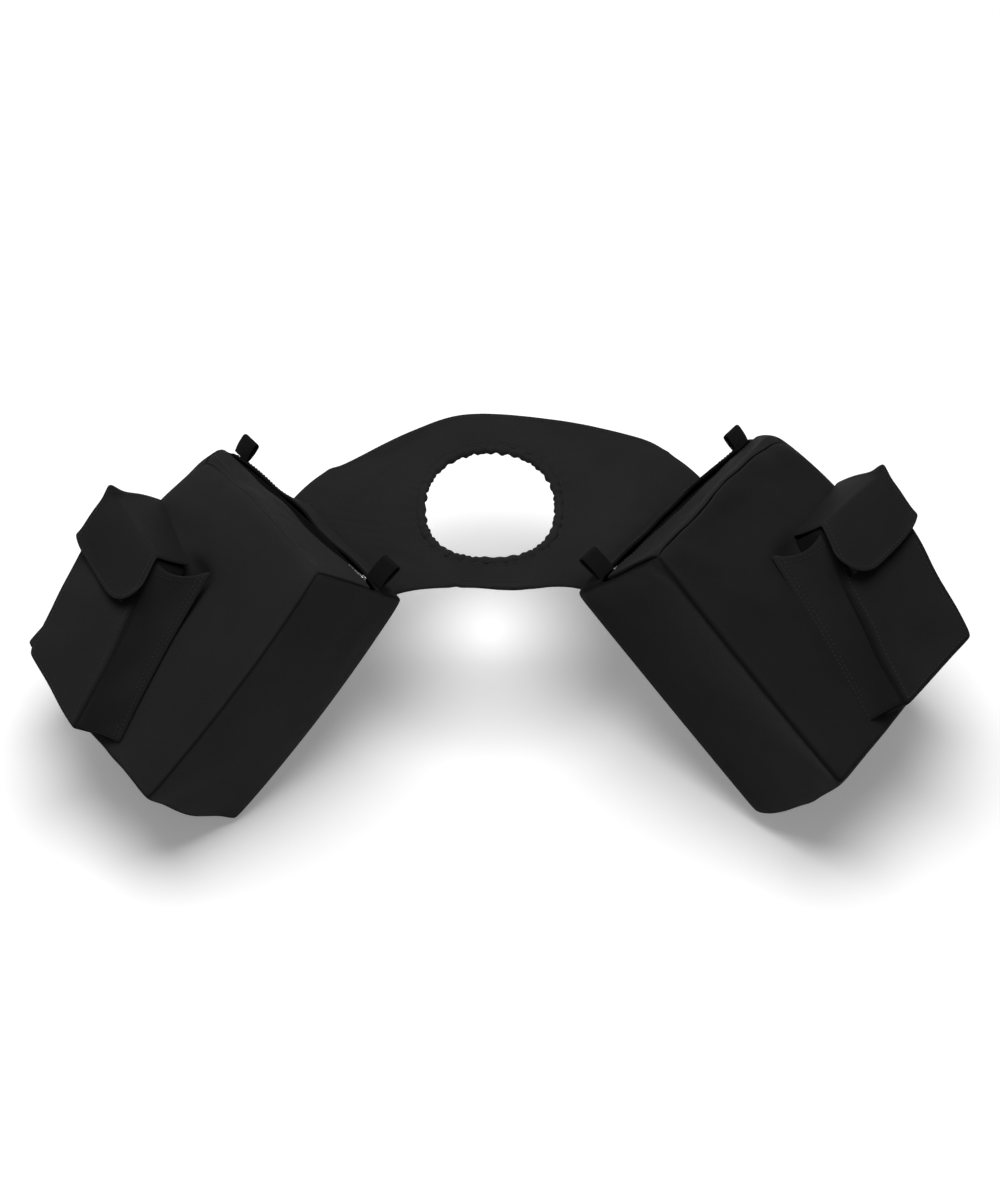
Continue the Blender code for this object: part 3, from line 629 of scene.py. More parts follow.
# ==== the pouches: padded boxes =========================================================================
# Five canvas panels over thin foam with a coated lining, sewn at their edges into a box. The box is empty:
# it has slumped at its far top front corner, and its panels belly out between their seams.
POUCH_WIDTH = 0.225
POUCH_DEPTH = 0.132
POUCH_HEIGHT = 0.245
POUCH_SIZE = (POUCH_WIDTH, POUCH_DEPTH, POUCH_HEIGHT)
PANEL = 0.0030
ZIP_DEPTH = 0.044
ZIP_HALF = 0.0050
STIFF_EDGE = 0.0060
STIFF_ZIP = 0.0090
BOTTOM_PINCH = 0.16
NEAR_SLOPE = 0.004
FAR_DRAW = 0.015
FAR_LIFT = 0.010
BOTTOM_BULGE = 0.010
BAND_STANDS = 0.0052         # how high the band and the lid stand up in their middles
LID_STANDS = 0.0030
BACK_DROP = 0.0055           # how far the top's far back corner has dropped
MOUTH_ACROSS = 0.114         # where the sleeve's mouth has dented the front
CREASE_DEPTH = 0.0016
CLOTH_FRAMES = 18
CLOTH_STIFFNESS = 12.0


class Pouch:
    """One side's pouch: where its points lie once it has slumped."""

    def __init__(self, name, side):
        self.name = name
        self.side = side
        self.body = f"{name}_pouch"
        along, out = side_axes(side)
        sine, cosine = math.sin(side["hang"]), math.cos(side["hang"])
        self.along = along
        self.out = out * sine + Vector((0.0, 0.0, cosine))
        self.up = Vector((0.0, 0.0, sine)) - out * cosine
        self.origin = out * side["seam_out"] + along * side["seam_start"] + Vector((0.0, 0.0, side["seam_z"]))

    def world(self, t, d, u):
        return self.origin + self.along * t + self.out * d + self.up * u

    def front_share(self, t, u):
        down = min(max(-u / POUCH_HEIGHT, 0.0), 1.0)
        pinch = self.side["far_pinch"] - (self.side["far_pinch"] - BOTTOM_PINCH) * down ** 1.3
        return 1.0 - pinch * max(t / POUCH_WIDTH, 0.0) ** (1.0 + down)

    def settle(self, t, d, u):
        """Where a point of the square-cut pouch goes when the empty bag slumps."""
        along = t / POUCH_WIDTH
        down = min(max(-u / POUCH_HEIGHT, 0.0), 1.0)
        stiff = 2 * STIFF_EDGE + 2 * STIFF_ZIP
        squash = (POUCH_DEPTH * self.front_share(t, u) - stiff) / (POUCH_DEPTH - stiff)
        behind_zip = ZIP_DEPTH - STIFF_ZIP - STIFF_EDGE
        before_zip = POUCH_DEPTH - STIFF_EDGE - ZIP_DEPTH - STIFF_ZIP
        depth = min(d, STIFF_EDGE)
        depth += squash * min(max(d - STIFF_EDGE, 0.0), behind_zip)
        depth += min(max(d - ZIP_DEPTH + STIFF_ZIP, 0.0), 2 * STIFF_ZIP)
        depth += squash * min(max(d - ZIP_DEPTH - STIFF_ZIP, 0.0), before_zip)
        depth += max(d - POUCH_DEPTH + STIFF_EDGE, 0.0)
        slope = (NEAR_SLOPE + (self.side["far_drop"] - NEAR_SLOPE) * along) * min(d / POUCH_DEPTH, 1.0)
        crown = math.sin(math.pi * min(max(d / POUCH_DEPTH, 0.0), 1.0)) * math.sin(math.pi * along)
        u += FAR_LIFT * along * down ** 2
        u -= slope * (1.0 - down) ** 2 + BOTTOM_BULGE * crown * down ** 4
        return t - FAR_DRAW * along * down ** 2, depth, u

    def front_surface(self, t, u):
        """The depth of the front panel's outer face at the settled place (t, u)."""
        flat_t, flat_u = t, u
        for _ in range(6):
            now_t, depth, now_u = self.settle(flat_t, POUCH_DEPTH, flat_u)
            flat_t += t - now_t
            flat_u += u - now_u
        return self.settle(flat_t, POUCH_DEPTH, flat_u)[1]

    def settled(self, t, d, u):
        return self.world(*self.settle(t, d, u))

    def pocket_face(self, a, b, lift=0.0):
        """A point of the flap pocket's front face: a from near to far, b from its top down, as shares."""
        corners = [Vector(self.side[key]) for key in ("near_top", "far_top", "near_bottom", "far_bottom")]
        point = mix(mix(corners[0], corners[1], a), mix(corners[2], corners[3], a), b)
        return point + Vector((0.0, lift, 0.0))

    def pocket_root(self, a, b, lift=0.0):
        """The point of the pouch's front panel that lies straight behind pocket_face(a, b)."""
        point = self.pocket_face(a, b)
        return Vector((point.x, self.front_surface(point.x, point.z) + lift, point.z))


def spread_cuts(length, seam=(), edge=0.0026, spacing=0.0075):
    """Places from 0 to length, close beside the ends and beside the seams between."""
    stops = [0.0] + sorted(seam) + [length]
    places = []
    for start, end in zip(stops, stops[1:]):
        places.append(start)
        if end - start > 4 * edge:
            count = max(round((end - start - 2 * edge) / spacing), 1)
            places += [mix(start + edge, end - edge, k / count) for k in range(count + 1)]
    return places + [length]


def lattice_box(name, cuts, cloth):
    """A closed box of quads through the places in cuts along each axis. Each face keeps its flat pattern and
    the number of its side: 0 and 1 across the first axis, 2 and 3 the second, 4 and 5 the third."""
    last = [len(places) - 1 for places in cuts]
    index, verts = {}, []

    def vertex(key):
        if key not in index:
            index[key] = len(verts)
            verts.append(Vector([places[k] for places, k in zip(cuts, key)]))
        return index[key]

    faces, flats, sides = [], [], []
    for axis in range(3):
        first, second = [k for k in range(3) if k != axis]
        for end in (0, 1):
            for i in range(last[first]):
                for j in range(last[second]):
                    ring = [(i, j), (i + 1, j), (i + 1, j + 1), (i, j + 1)]
                    if (end == 1) == (axis == 1):
                        ring.reverse()
                    keys = []
                    for a, b in ring:
                        key = [0, 0, 0]
                        key[axis], key[first], key[second] = end * last[axis], a, b
                        keys.append(tuple(key))
                    faces.append([vertex(key) for key in keys])
                    flats += [(cuts[first][a], cuts[second][b]) for a, b in ring]
                    sides.append(2 * axis + end)
    mesh = bpy.data.meshes.new(name)
    mesh.from_pydata(verts, [], faces)
    layer = mesh.uv_layers.new(name=CLOTH_MAP)
    for loop, flat in zip(layer.data, flats):
        loop.uv = flat
    number = mesh.attributes.new("side", "INT", "FACE")
    for k, value in enumerate(sides):
        number.data[k].value = value
    mesh.materials.append(cloth)
    return new_object(name, mesh)


def edge_gap(place, size):
    """How far a place on a square-cut box, whose top is at height 0, is from the box's nearest edge."""
    (x, y, z), (wide, deep, tall) = place, size
    return sorted([min(x, wide - x), min(y, deep - y), min(-z, tall + z)])[1]


def cloth_marks(box):
    """The values worn and seam of the box's vertices, both new. Seam darkens seam lines and also holds
    painted shade.
    """
    for label in ("worn", "seam"):
        box.data.attributes.new(label, "FLOAT", "POINT")
    return [box.data.attributes[label].data for label in ("worn", "seam")]


def puff(piece, held, pressure, most):
    """Fills a closed cloth with air, with the vertices that held(index) names sewn in place, and lets no
    vertex move more than most. The result stays in the mesh."""
    start = [vert.co.copy() for vert in piece.data.vertices]
    pins = piece.vertex_groups.new(name="sewn")
    for vert in piece.data.vertices:
        weight = held(vert.index)
        if weight > 0:
            pins.add([vert.index], weight, "REPLACE")
    cloth = piece.modifiers.new("cloth", "CLOTH")
    cloth.settings.quality = 6
    cloth.settings.mass = 0.25
    cloth.settings.tension_stiffness = CLOTH_STIFFNESS
    cloth.settings.compression_stiffness = CLOTH_STIFFNESS
    cloth.settings.shear_stiffness = 5.0
    cloth.settings.bending_stiffness = 1.5
    cloth.settings.use_pressure = True
    cloth.settings.uniform_pressure_force = pressure
    cloth.settings.vertex_group_mass = "sewn"
    cloth.settings.effector_weights.gravity = 0.0
    scene = bpy.context.scene
    for span in (scene, cloth.point_cache):
        span.frame_start, span.frame_end = 1, CLOTH_FRAMES
    for number in range(1, CLOTH_FRAMES + 1):
        scene.frame_set(number)
    shown = piece.evaluated_get(bpy.context.evaluated_depsgraph_get())
    ends = [vert.co.copy() for vert in shown.to_mesh().vertices]
    shown.to_mesh_clear()
    piece.modifiers.remove(cloth)
    scene.frame_set(1)
    for vert, before, after in zip(piece.data.vertices, start, ends):
        step = after - before
        if step.length > most:
            step *= most / step.length
        vert.co = before + step


def panel_belly(place, span):
    """0 at both ends of a panel and 1 over most of its middle."""
    share = min(max(place / span, 0.0), 1.0)
    return math.sin(math.pi * share) ** 0.6


T_CUTS = spread_cuts(POUCH_WIDTH)
D_CUTS = spread_cuts(POUCH_DEPTH, (ZIP_DEPTH - ZIP_HALF, ZIP_DEPTH + ZIP_HALF), spacing=0.0070)
U_CUTS = [-place for place in reversed(spread_cuts(POUCH_HEIGHT))]


def round_edges(t, d, u):
    """Rounds the square box's edges: little where a seam holds them, most at the far top front corner."""
    edge = ease(1.0 - max(POUCH_DEPTH - d, -u) / 0.030)
    corner = ease(1.0 - Vector((t - POUCH_WIDTH, d - POUCH_DEPTH, u)).length / 0.070)
    radius = 0.0045 + 0.006 * edge + 0.013 * corner
    inner = Vector((min(max(t, radius), POUCH_WIDTH - radius), min(max(d, radius), POUCH_DEPTH - radius),
                    min(max(u, radius - POUCH_HEIGHT), -radius)))
    away = Vector((t, d, u)) - inner
    return inner + away * min(radius / max(away.length, 1e-6), 1.0)


def slump(pouch, point):
    """The pouch's edges rounded, its panels bellied a little, its top hollow beside the zip."""
    t, d, u = round_edges(*point)
    down = -u / POUCH_HEIGHT
    near = 1.0 - t / POUCH_WIDTH
    bow = math.sin(math.pi * min(max(d / POUCH_DEPTH, 0.0), 1.0)) ** 0.8
    low = pouch.side["low_belly"] * bow * near * down ** 6
    settled = pouch.world(*pouch.settle(t, d, u)) - pouch.up * low
    bowed = 0.0042 + pouch.side["back_bow"] * math.sin(math.pi * min(max(down, 0.0), 1.0)) ** 0.7
    settled -= pouch.along * (bowed * max(near, 0.0) ** 3)
    middle = pouch.world(*pouch.settle(mix(t, POUCH_WIDTH / 2, 0.05), mix(d, POUCH_DEPTH / 2, 0.05),
                                       mix(u, -POUCH_HEIGHT / 2, 0.05)))
    inward = (middle - settled).normalized()
    t, d, u = point
    ridge = unevenness(settled, 0.060, 0.0045, 7.0) + unevenness(settled, 0.024, 0.0016, 11.0)
    calm = min(panel_belly(d, POUCH_DEPTH) + panel_belly(t, POUCH_WIDTH), 1.0)
    settled -= inward * ridge * calm * (1.0 if d > 0.004 else 0.0)
    if u > -0.001:
        standing = ease(d / 0.012) * BAND_STANDS
        if d >= ZIP_DEPTH:
            standing = ease((d - ZIP_DEPTH - ZIP_HALF) / 0.025) * LID_STANDS
        settled += pouch.up * standing * panel_belly(t, POUCH_WIDTH)
    back_corner = ease((t - 0.10) / 0.09) * ease((ZIP_DEPTH - d) / 0.03) * ease(1.0 + u / 0.03)
    settled -= pouch.up * (BACK_DROP * back_corner)
    if d > POUCH_DEPTH - 0.001:
        beside = math.exp(-((t - MOUTH_ACROSS) / 0.022) ** 2)
        below = ease((-u - 0.066) / 0.016) * (1.0 - ease((-u - 0.10) / 0.07))
        settled -= pouch.out * (pouch.side["mouth_dent"] * beside * below)
        crease = abs((-u - 0.020) - 0.16 * (t - 0.11))
        settled -= pouch.out * (CREASE_DEPTH * math.exp(-(crease / 0.005) ** 2) * panel_belly(t, POUCH_WIDTH))
    return settled


def make_box(pouch):
    box = lattice_box(f"{pouch.name}_box", (T_CUTS, D_CUTS, U_CUTS), canvas)
    flat = [tuple(vert.co) for vert in box.data.vertices]
    worn, seam = cloth_marks(box)
    for k, (t, d, u) in enumerate(flat):
        gap = edge_gap(flat[k], POUCH_SIZE)
        worn[k].value = 0.6 * math.exp(-gap / 0.005)
        beside_zip = u > -0.001 and abs(abs(d - ZIP_DEPTH) - ZIP_HALF) < 0.0005
        hinge = d > POUCH_DEPTH - 0.0005 and u > -0.0005
        seam[k].value = 0.85 if (gap < 0.0005 and not hinge) or beside_zip else 0.0
        # Painted shade: the front panel behind the sleeve's mouth is painted near-black, standing in for the
        # shadow inside the sleeve.
        if d > POUCH_DEPTH - 0.001:
            painted_sleeve_shade = ease(1.4 - abs(t - 0.112) / 0.016) * ease((-u - 0.080) / 0.012)
            seam[k].value = max(seam[k].value, 0.9 * painted_sleeve_shade * (u > -0.20))
    sides = [entry.value for entry in box.data.attributes["side"].data]
    middles = [sum((Vector(flat[k]) for k in face.vertices), Vector()) / 4 for face in box.data.polygons]
    for vert, place in zip(box.data.vertices, flat):
        vert.co = slump(pouch, place)

    def held(k):
        t, d, u = flat[k]
        if d < 0.001:
            return 1.0
        if u > -0.001 and abs(d - ZIP_DEPTH) < ZIP_HALF + 0.001:
            return 1.0
        down = (-u - 0.065) / 0.165
        if d > POUCH_DEPTH - 0.001 and down > 0 and t > mix(0.092, 0.048, down):
            return 0.95
        return 0.55 if edge_gap(flat[k], POUCH_SIZE) < 0.001 else 0.0

    puff(box, held, pressure=3.0, most=0.011)
    top = 5
    lid_edge, band_edge = ZIP_DEPTH + ZIP_HALF, ZIP_DEPTH - ZIP_HALF
    lid = split_off(box, f"{pouch.name}_lid_panel",
                    lambda face: sides[face.index] == top and middles[face.index].y > lid_edge)
    shell = split_off(box, f"{pouch.name}_pouch_shell",
                      lambda face: sides[face.index] != top or middles[face.index].y < band_edge)
    bpy.data.objects.remove(box)
    thicken(shell, PANEL, 1, lining_cloth)
    thicken(lid, PANEL, 1, lining_cloth)
    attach(shell, pouch.body)
    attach(lid, f"{pouch.name}_lid_body")
    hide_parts(*[f"{pouch.name}_{part}" for part in (
        "back_panel", "front_panel", "bottom_panel", "near_gusset", "far_gusset", "top_band", "lining")])
    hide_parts(f"{pouch.name}_lid")
    return shell, lid


pouches = {name: Pouch(name, side) for name, side in SIDES.items()}
shells = {name: make_box(pouch) for name, pouch in pouches.items()}


# ==== the zips: tapes, coil teeth, sliders and pulls ====================================================
# A nylon coil zip on knitted tape closes each top. The band behind it and the lid before it stand a little
# higher, so that it lies in a valley. The tape is far darker than the canvas: its own black and painted shade
# of the valley, and on the band's side it is turned up against the band's rim. The slider and its flat pull
# are bright metal.
ZIP_ENDS = {"band": 0.004, "lid": 0.0112}
TAPE_WIDE = 0.0105
TOOTH_PITCH = 0.0016
TOOTH_OUTLINE = ((-1, -0.6), (-0.6, -1), (0.6, -1), (1, -0.6), (1, 0.6), (0.6, 1), (-0.6, 1), (-1, 0.6))
SLIDER_START = 0.014
SLIDER_LENGTH = 0.0085
PULL_LENGTH = 0.022
PULL_HEIGHT = 0.0028
PULL_THICKNESS = 0.0007


def plain_material(name, color, roughness, metallic=0.0, bump=0.0, scale=800.0):
    """A surface of one colour whose roughness is uneven, with a fine grain."""
    material, tree, shader = new_material(name)
    shader.inputs["Metallic"].default_value = metallic
    place = add_node(tree, "TexCoord").outputs["Object"]
    grain = add_node(tree, "TexNoise", [("Vector", place), ("Scale", scale), ("Detail", 3.0)]).outputs[0]
    light = [min(channel, 1.0) for channel in scaled(color, 1.25)]
    tree.links.new(mix_colours(tree, grain, scaled(color, 0.75), light), shader.inputs["Base Color"])
    rough = add_node(tree, "Math", [(0, grain), (1, 0.16), (2, roughness - 0.08)], operation="MULTIPLY_ADD")
    tree.links.new(rough.outputs[0], shader.inputs["Roughness"])
    if bump:
        lump = add_node(tree, "Bump", [("Height", grain), ("Distance", bump)])
        tree.links.new(lump.outputs[0], shader.inputs["Normal"])
    return material


# The tape's colour is partly its own black and partly painted shade, so that the zip's valley reads black.
tape_with_painted_shade = cloth_material("knitted zip tape", [0.0035] * 3, [0.006] * 3, 1800.0, 0.0002)
coil_nylon = plain_material("nylon coil", (0.006, 0.006, 0.006), 0.5)
coil_nylon.node_tree.nodes["Principled BSDF"].inputs["Specular IOR Level"].default_value = 0.2
bright_metal = plain_material("bright zip metal", (0.62, 0.62, 0.61), 0.26, 1.0, 0.00002, 1500.0)


def mesh_piece(name, bm, material, smooth=False):
    mesh = bpy.data.meshes.new(name)
    bmesh.ops.recalc_face_normals(bm, faces=bm.faces)
    bm.to_mesh(mesh)
    bm.free()
    mesh.materials.append(material)
    for face in mesh.polygons:
        face.use_smooth = smooth
    return new_object(name, mesh)


def join_rings(bm, rings, looped=False):
    """The faces between each ring of vertices and the next, with both ends closed unless they are looped."""
    count = len(rings[0])
    for first, second in zip(rings, rings[1:] + rings[:1] if looped else rings[1:]):
        for i in range(count):
            bm.faces.new((first[i], first[(i + 1) % count], second[(i + 1) % count], second[i]))
    if not looped:
        bm.faces.new(rings[0])
        bm.faces.new(rings[-1])


def bevelled(piece, width, segments=2):
    edge = piece.modifiers.new("edges", "BEVEL")
    edge.width = width
    edge.segments = segments
    edge.limit_method = "ANGLE"
    apply_all(piece)


def zip_frame(pouch):
    """The zip's start, and its directions along, across towards the front, and up."""
    start, end = [pouch.settled(t, ZIP_DEPTH, -PANEL) for t in (0.0, POUCH_WIDTH)]
    along = (end - start).normalized()
    across = (pouch.out - along * pouch.out.dot(along)).normalized()
    up = pouch.up - along * pouch.up.dot(along)
    up = (up - across * up.dot(across)).normalized()
    return start, along, across, up, (end - start).length


def make_zip_side(pouch, name, body, sign):
    start, along, across, up, length = zip_frame(pouch)
    inset = ZIP_ENDS[name]
    run = length - 2 * inset

    def tape_shape(a, b):
        away = mix(0.0004, TAPE_WIDE, a)
        high = -0.0014
        # On the band's side the tape is turned up against the band's rim: a dark wall of tape that stands in
        # for the valley's shade.
        if sign < 0 and away > ZIP_HALF - 0.0006:
            high += min((away - ZIP_HALF + 0.0006) * 1.3, 0.0062) * panel_belly(b, 1.0)
            away = ZIP_HALF - 0.0006
        return start + along * (inset + run * b) + across * (sign * away) + up * high

    tape = make_sheet(f"{pouch.name}_zip_tape_{name}_cloth", tape_with_painted_shade, 4, 60, tape_shape,
                      lambda a, b: (a * TAPE_WIDE, b * run))
    thicken(tape, 0.0007, 0, None, 0.0)
    bm = bmesh.new()
    count = int(run / TOOTH_PITCH)
    for k in range(count):
        middle = inset + (k + (0.25 if sign > 0 else 0.75)) * TOOTH_PITCH
        rings = []
        for x, half_high, half_long in ((-0.0004, 0.00035, 0.00030), (0.0003, 0.00075, 0.00040),
                                        (0.0015, 0.00085, 0.00036), (0.0022, 0.0005, 0.00030)):
            place = start + along * middle + across * (sign * x) + up * -0.0012
            rings.append([bm.verts.new(place + along * half_long * i + up * half_high * j)
                          for i, j in TOOTH_OUTLINE])
        join_rings(bm, rings)
    teeth = mesh_piece(f"{pouch.name}_zip_coil_{name}", bm, coil_nylon, True)
    for piece, node, slot in ((tape, "tape", "zip_tape"), (teeth, "teeth", "zip_teeth")):
        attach(piece, body)
        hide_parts(f"{pouch.name}_zip_{node}_{name}")


def prism(bm, outline, low, high, place):
    """A solid of the outline's points (x, y), from height low to high, set in space by place(x, y, z)."""
    join_rings(bm, [[bm.verts.new(place(x, y, z)) for x, y in outline] for z in (low, high)])


def make_slider(pouch):
    start, along, across, up, _ = zip_frame(pouch)

    def place(x, y, z):
        return start + along * (SLIDER_START + x) + across * y + up * z

    half = SLIDER_LENGTH / 2
    bm = bmesh.new()
    body = [(-half, -0.0019), (-half * 0.6, -0.0031), (half * 0.3, -0.0034), (half, -0.0026),
            (half * 0.8, 0.0), (half, 0.0026), (half * 0.3, 0.0034), (-half * 0.6, 0.0031), (-half, 0.0019)]
    prism(bm, body, 0.0003, 0.0018, place)
    for x in (-0.0022, 0.0012):
        foot = [(x, -0.0009), (x + 0.0010, -0.0009), (x + 0.0010, 0.0009), (x, 0.0009)]
        prism(bm, foot, 0.0012, 0.0042, place)
    bridge = [(-0.0024, -0.0010), (0.0024, -0.0010), (0.0024, 0.0010), (-0.0024, 0.0010)]
    prism(bm, bridge, 0.0037, 0.0047, place)
    slider = mesh_piece(f"{pouch.name}_slider", bm, bright_metal)
    bevelled(slider, 0.0003)
    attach(slider, f"{pouch.name}_slider_body")
    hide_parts(f"{pouch.name}_zip_slider")
    bm = bmesh.new()
    outer, inner = [], []
    long = 0.5 * (PULL_LENGTH + 0.0006)
    for k in range(40):
        angle = 2 * math.pi * k / 40
        x, y = math.cos(angle), math.sin(angle)
        wide = 0.0027 + 0.0004 * (x + 1) / 2
        outer.append((long * signed_power(x, 0.3) + long - 0.0006, wide * signed_power(y, 0.4)))
        inner.append((0.0019 * signed_power(x, 0.5) + 0.0025, 0.0015 * signed_power(y, 0.5)))
    half = PULL_THICKNESS / 2
    join_rings(bm, [[bm.verts.new(place(x, y, PULL_HEIGHT + z)) for x, y in ring]
                    for ring, z in ((outer, -half), (outer, half), (inner, half), (inner, -half))],
               looped=True)
    pull = mesh_piece(f"{pouch.name}_pull", bm, bright_metal)
    bevelled(pull, 0.00018, 1)
    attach(pull, f"{pouch.name}_pull_body")
    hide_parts(f"{pouch.name}_zip_pull")


for name, pouch in pouches.items():
    make_zip_side(pouch, "band", pouch.body, -1)
    make_zip_side(pouch, "lid", f"{name}_lid_body", 1)
    make_slider(pouch)


# ==== the webbing tabs ==================================================================================
# A 20 mm webbing loop stands on the band behind each end of each zip, sewn down by its two ends. Fingers
# hold it while the zip is pulled, and it takes a strap.
TAB_WIDTH = 0.020
TAB_BACK = 0.0075
webbing_cloth = cloth_material("ribbed webbing", (0.0050, 0.0050, 0.0052), [0.014] * 3, 640.0, 0.0006,
                               roughness=0.7)


def make_tab(pouch, name, t, tilt, height):
    foot = pouch.settled(t, ZIP_DEPTH - TAB_BACK, 0.0)
    beside = (foot - pouch.settled(t - TAB_WIDTH / 2, ZIP_DEPTH - TAB_BACK, 0.0)).normalized()
    ahead = (pouch.out - beside * pouch.out.dot(beside)).normalized()
    fold = 0.0026
    straight = height - fold
    length = 2 * straight + math.pi * fold

    def shape(a, b):
        run = a * length
        wave = 0.0006 * math.sin(b * math.pi)
        if run < straight:
            x, z = -fold * ease(0.35 + run / straight), run
        elif run > length - straight:
            x, z = fold * ease(0.35 + (length - run) / straight), length - run
        else:
            turn = (run - straight) / fold
            x, z = -fold * math.cos(turn), straight + fold * math.sin(turn)
        across = (b - 0.5) * TAB_WIDTH + tilt * z
        return foot + beside * across + ahead * (x + wave) + pouch.up * (z + 0.001)

    tab = make_sheet(f"{pouch.name}_{name}_webbing", webbing_cloth, 40, 6, shape,
                     lambda a, b: (b * TAB_WIDTH, a * length))
    mark_worn(tab, lambda point: 0.2)
    thicken(tab, 0.0015, 1, None, 0.0)
    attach(tab, pouch.body)
    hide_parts(f"{pouch.name}_{name}")


for name, pouch in pouches.items():
    make_tab(pouch, "near_tab", 0.008, -0.10, 0.025)
    make_tab(pouch, "far_tab", POUCH_WIDTH - 0.012, 0.10, 0.018)


# ==== the flap pockets ==================================================================================
# A phone's pocket is sewn to each front panel: a canvas box, open at its top, with a canvas flap that is
# sewn down above it, folds over its mouth and closes on hook-and-loop tape.
POCKET_WIDE = 0.092
POCKET_TALL = 0.160
POCKET_DEEP = 0.040
POCKET_SIZE = (POCKET_WIDE, POCKET_DEEP, POCKET_TALL)
FLAP_ROOT = (-0.030, -0.085)
FLAP_FOLD = -0.012
FLAP_END = 0.33
FLAP_OVER = 0.40             # the share of the flap between its seam and its fold
FLAP_TALL = 0.092
FLAP_STAND = 0.0042
fuzz = plain_material("napped tape", (0.013, 0.013, 0.013), 0.95, 0.0, 0.0006, 2200.0)


def make_pocket(pouch):
    cuts = (spread_cuts(POCKET_WIDE), spread_cuts(POCKET_DEEP),
            [-place for place in reversed(spread_cuts(POCKET_TALL))])
    box = lattice_box(f"{pouch.name}_pocket_box", cuts, canvas)
    flat = [tuple(vert.co) for vert in box.data.vertices]
    worn, seam = cloth_marks(box)
    for k, vert in enumerate(box.data.vertices):
        x, y, z = flat[k]
        a, share, b = x / POCKET_WIDE, y / POCKET_DEEP, -z / POCKET_TALL
        gap = edge_gap(flat[k], POCKET_SIZE)
        worn[k].value = 0.6 * math.exp(-gap / 0.004)
        seam[k].value = 0.7 if gap < 0.0005 else 0.0
        point = mix(pouch.pocket_root(a, b, -0.002), pouch.pocket_face(a, b), share)
        ends = sum(1 for s in (a, b) if s < 0.001 or s > 0.999) if share > 0.999 else 0
        point.y -= (0.0, 0.0015, 0.005)[ends]
        sag = 0.003 * math.sin(math.pi * b) * share
        point.x += sag * (1.0 if a > 0.999 else -1.0 if a < 0.001 else 0.0)
        place = pouch.world(*point)
        vert.co = place + pouch.out * unevenness(place, 0.045, 0.004, 5.0) * share

    def held(k):
        _, y, z = flat[k]
        if y < 0.001:
            return 1.0
        if z > -0.001:
            return 0.7
        return 0.6 if edge_gap(flat[k], POCKET_SIZE) < 0.001 else 0.0

    puff(box, held, pressure=2.5, most=0.005)
    sides = [entry.value for entry in box.data.attributes["side"].data]
    pocket = split_off(box, f"{pouch.name}_pocket", lambda face: sides[face.index] not in (2, 5))
    bpy.data.objects.remove(box)
    thicken(pocket, 0.0018, 1, lining_cloth)
    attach(pocket, pouch.body)
    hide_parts(*[f"{pouch.name}_pocket_{part}" for part in (
        "front", "near_gusset", "far_gusset", "bottom")])
    return pocket


def flap_point(pouch, a, run, lift=0.0):
    """A point of the flap: a from its near side to its far side, run from its seam to its lower edge."""
    across = mix(-0.03, 1.04, a)
    root = pouch.pocket_root(across, mix(FLAP_ROOT[0], FLAP_ROOT[1], a))
    fold = pouch.pocket_face(across, FLAP_FOLD, FLAP_STAND)
    corner = abs(2 * a - 1) ** 7
    end = FLAP_END + 0.020 * math.sin(math.pi * a) - 0.045 * corner - 0.13 * max(1.0 - a / 0.40, 0.0) ** 2
    if run < FLAP_OVER:
        share = run / FLAP_OVER
        point = mix(root, fold, share)
        point.z += mix(-0.001, 0.003, a) * math.sin(math.pi * share)
    else:
        share = (run - FLAP_OVER) / (1.0 - FLAP_OVER)
        point = pouch.pocket_face(across, mix(FLAP_FOLD, end, share), FLAP_STAND)
        point.y += 0.0020 * math.sin(math.pi * min(share * 1.2, 1.0))
        point.y += 0.013 * share ** 2 * (1.0 - a) ** 2.5 + 0.009 * share ** 2 * a ** 6
        point.x -= 0.009 * share * (1.0 - a) ** 2
    near_fold = math.exp(-((run - FLAP_OVER) / 0.07) ** 2)
    point.y -= 0.0012 * near_fold
    ear = math.exp(-((1.0 - a) / 0.05) ** 2) * near_fold
    point += Vector((0.002, 0.003, 0.007)) * ear
    return pouch.world(point.x, point.y + lift, point.z)


def near_line(line, width):
    """How worn the cloth is beside a line of points."""
    return lambda point: 0.4 * math.exp(-min((point - place).length for place in line) / width)


def make_flap(pouch):
    def shape(a, b):
        place = flap_point(pouch, b, a)
        return place + pouch.out * unevenness(place, 0.030, 0.0018, 9.0) * ease(a * 4)

    flap = make_sheet(f"{pouch.name}_flap", canvas, 34, 20, shape,
                      lambda a, b: (b * POCKET_WIDE, a * FLAP_TALL))
    if pouch.side["mirror"] < 0:
        flap.data.flip_normals()
    lower = [flap_point(pouch, k / 40, 1.0) for k in range(41)]
    mark_worn(flap, near_line(lower, 0.003))
    thicken(flap, 0.0024, 1, lining_cloth, 0.0)
    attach(flap, f"{pouch.name}_flap_body")
    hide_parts(f"{pouch.name}_pocket_flap")
    return flap


def surface_of(*pieces):
    """The pieces' surfaces, to find the nearest point of."""
    graph = bpy.context.evaluated_depsgraph_get()
    graph.update()
    return [BVHTree.FromObject(piece, graph) for piece in pieces]


def nearest(surfaces, point):
    """The nearest point of the surfaces, and the way out of the cloth there."""
    found = [tree.find_nearest(point) for tree in surfaces]
    place, normal, _, _ = min(found, key=lambda entry: entry[3])
    return place, normal


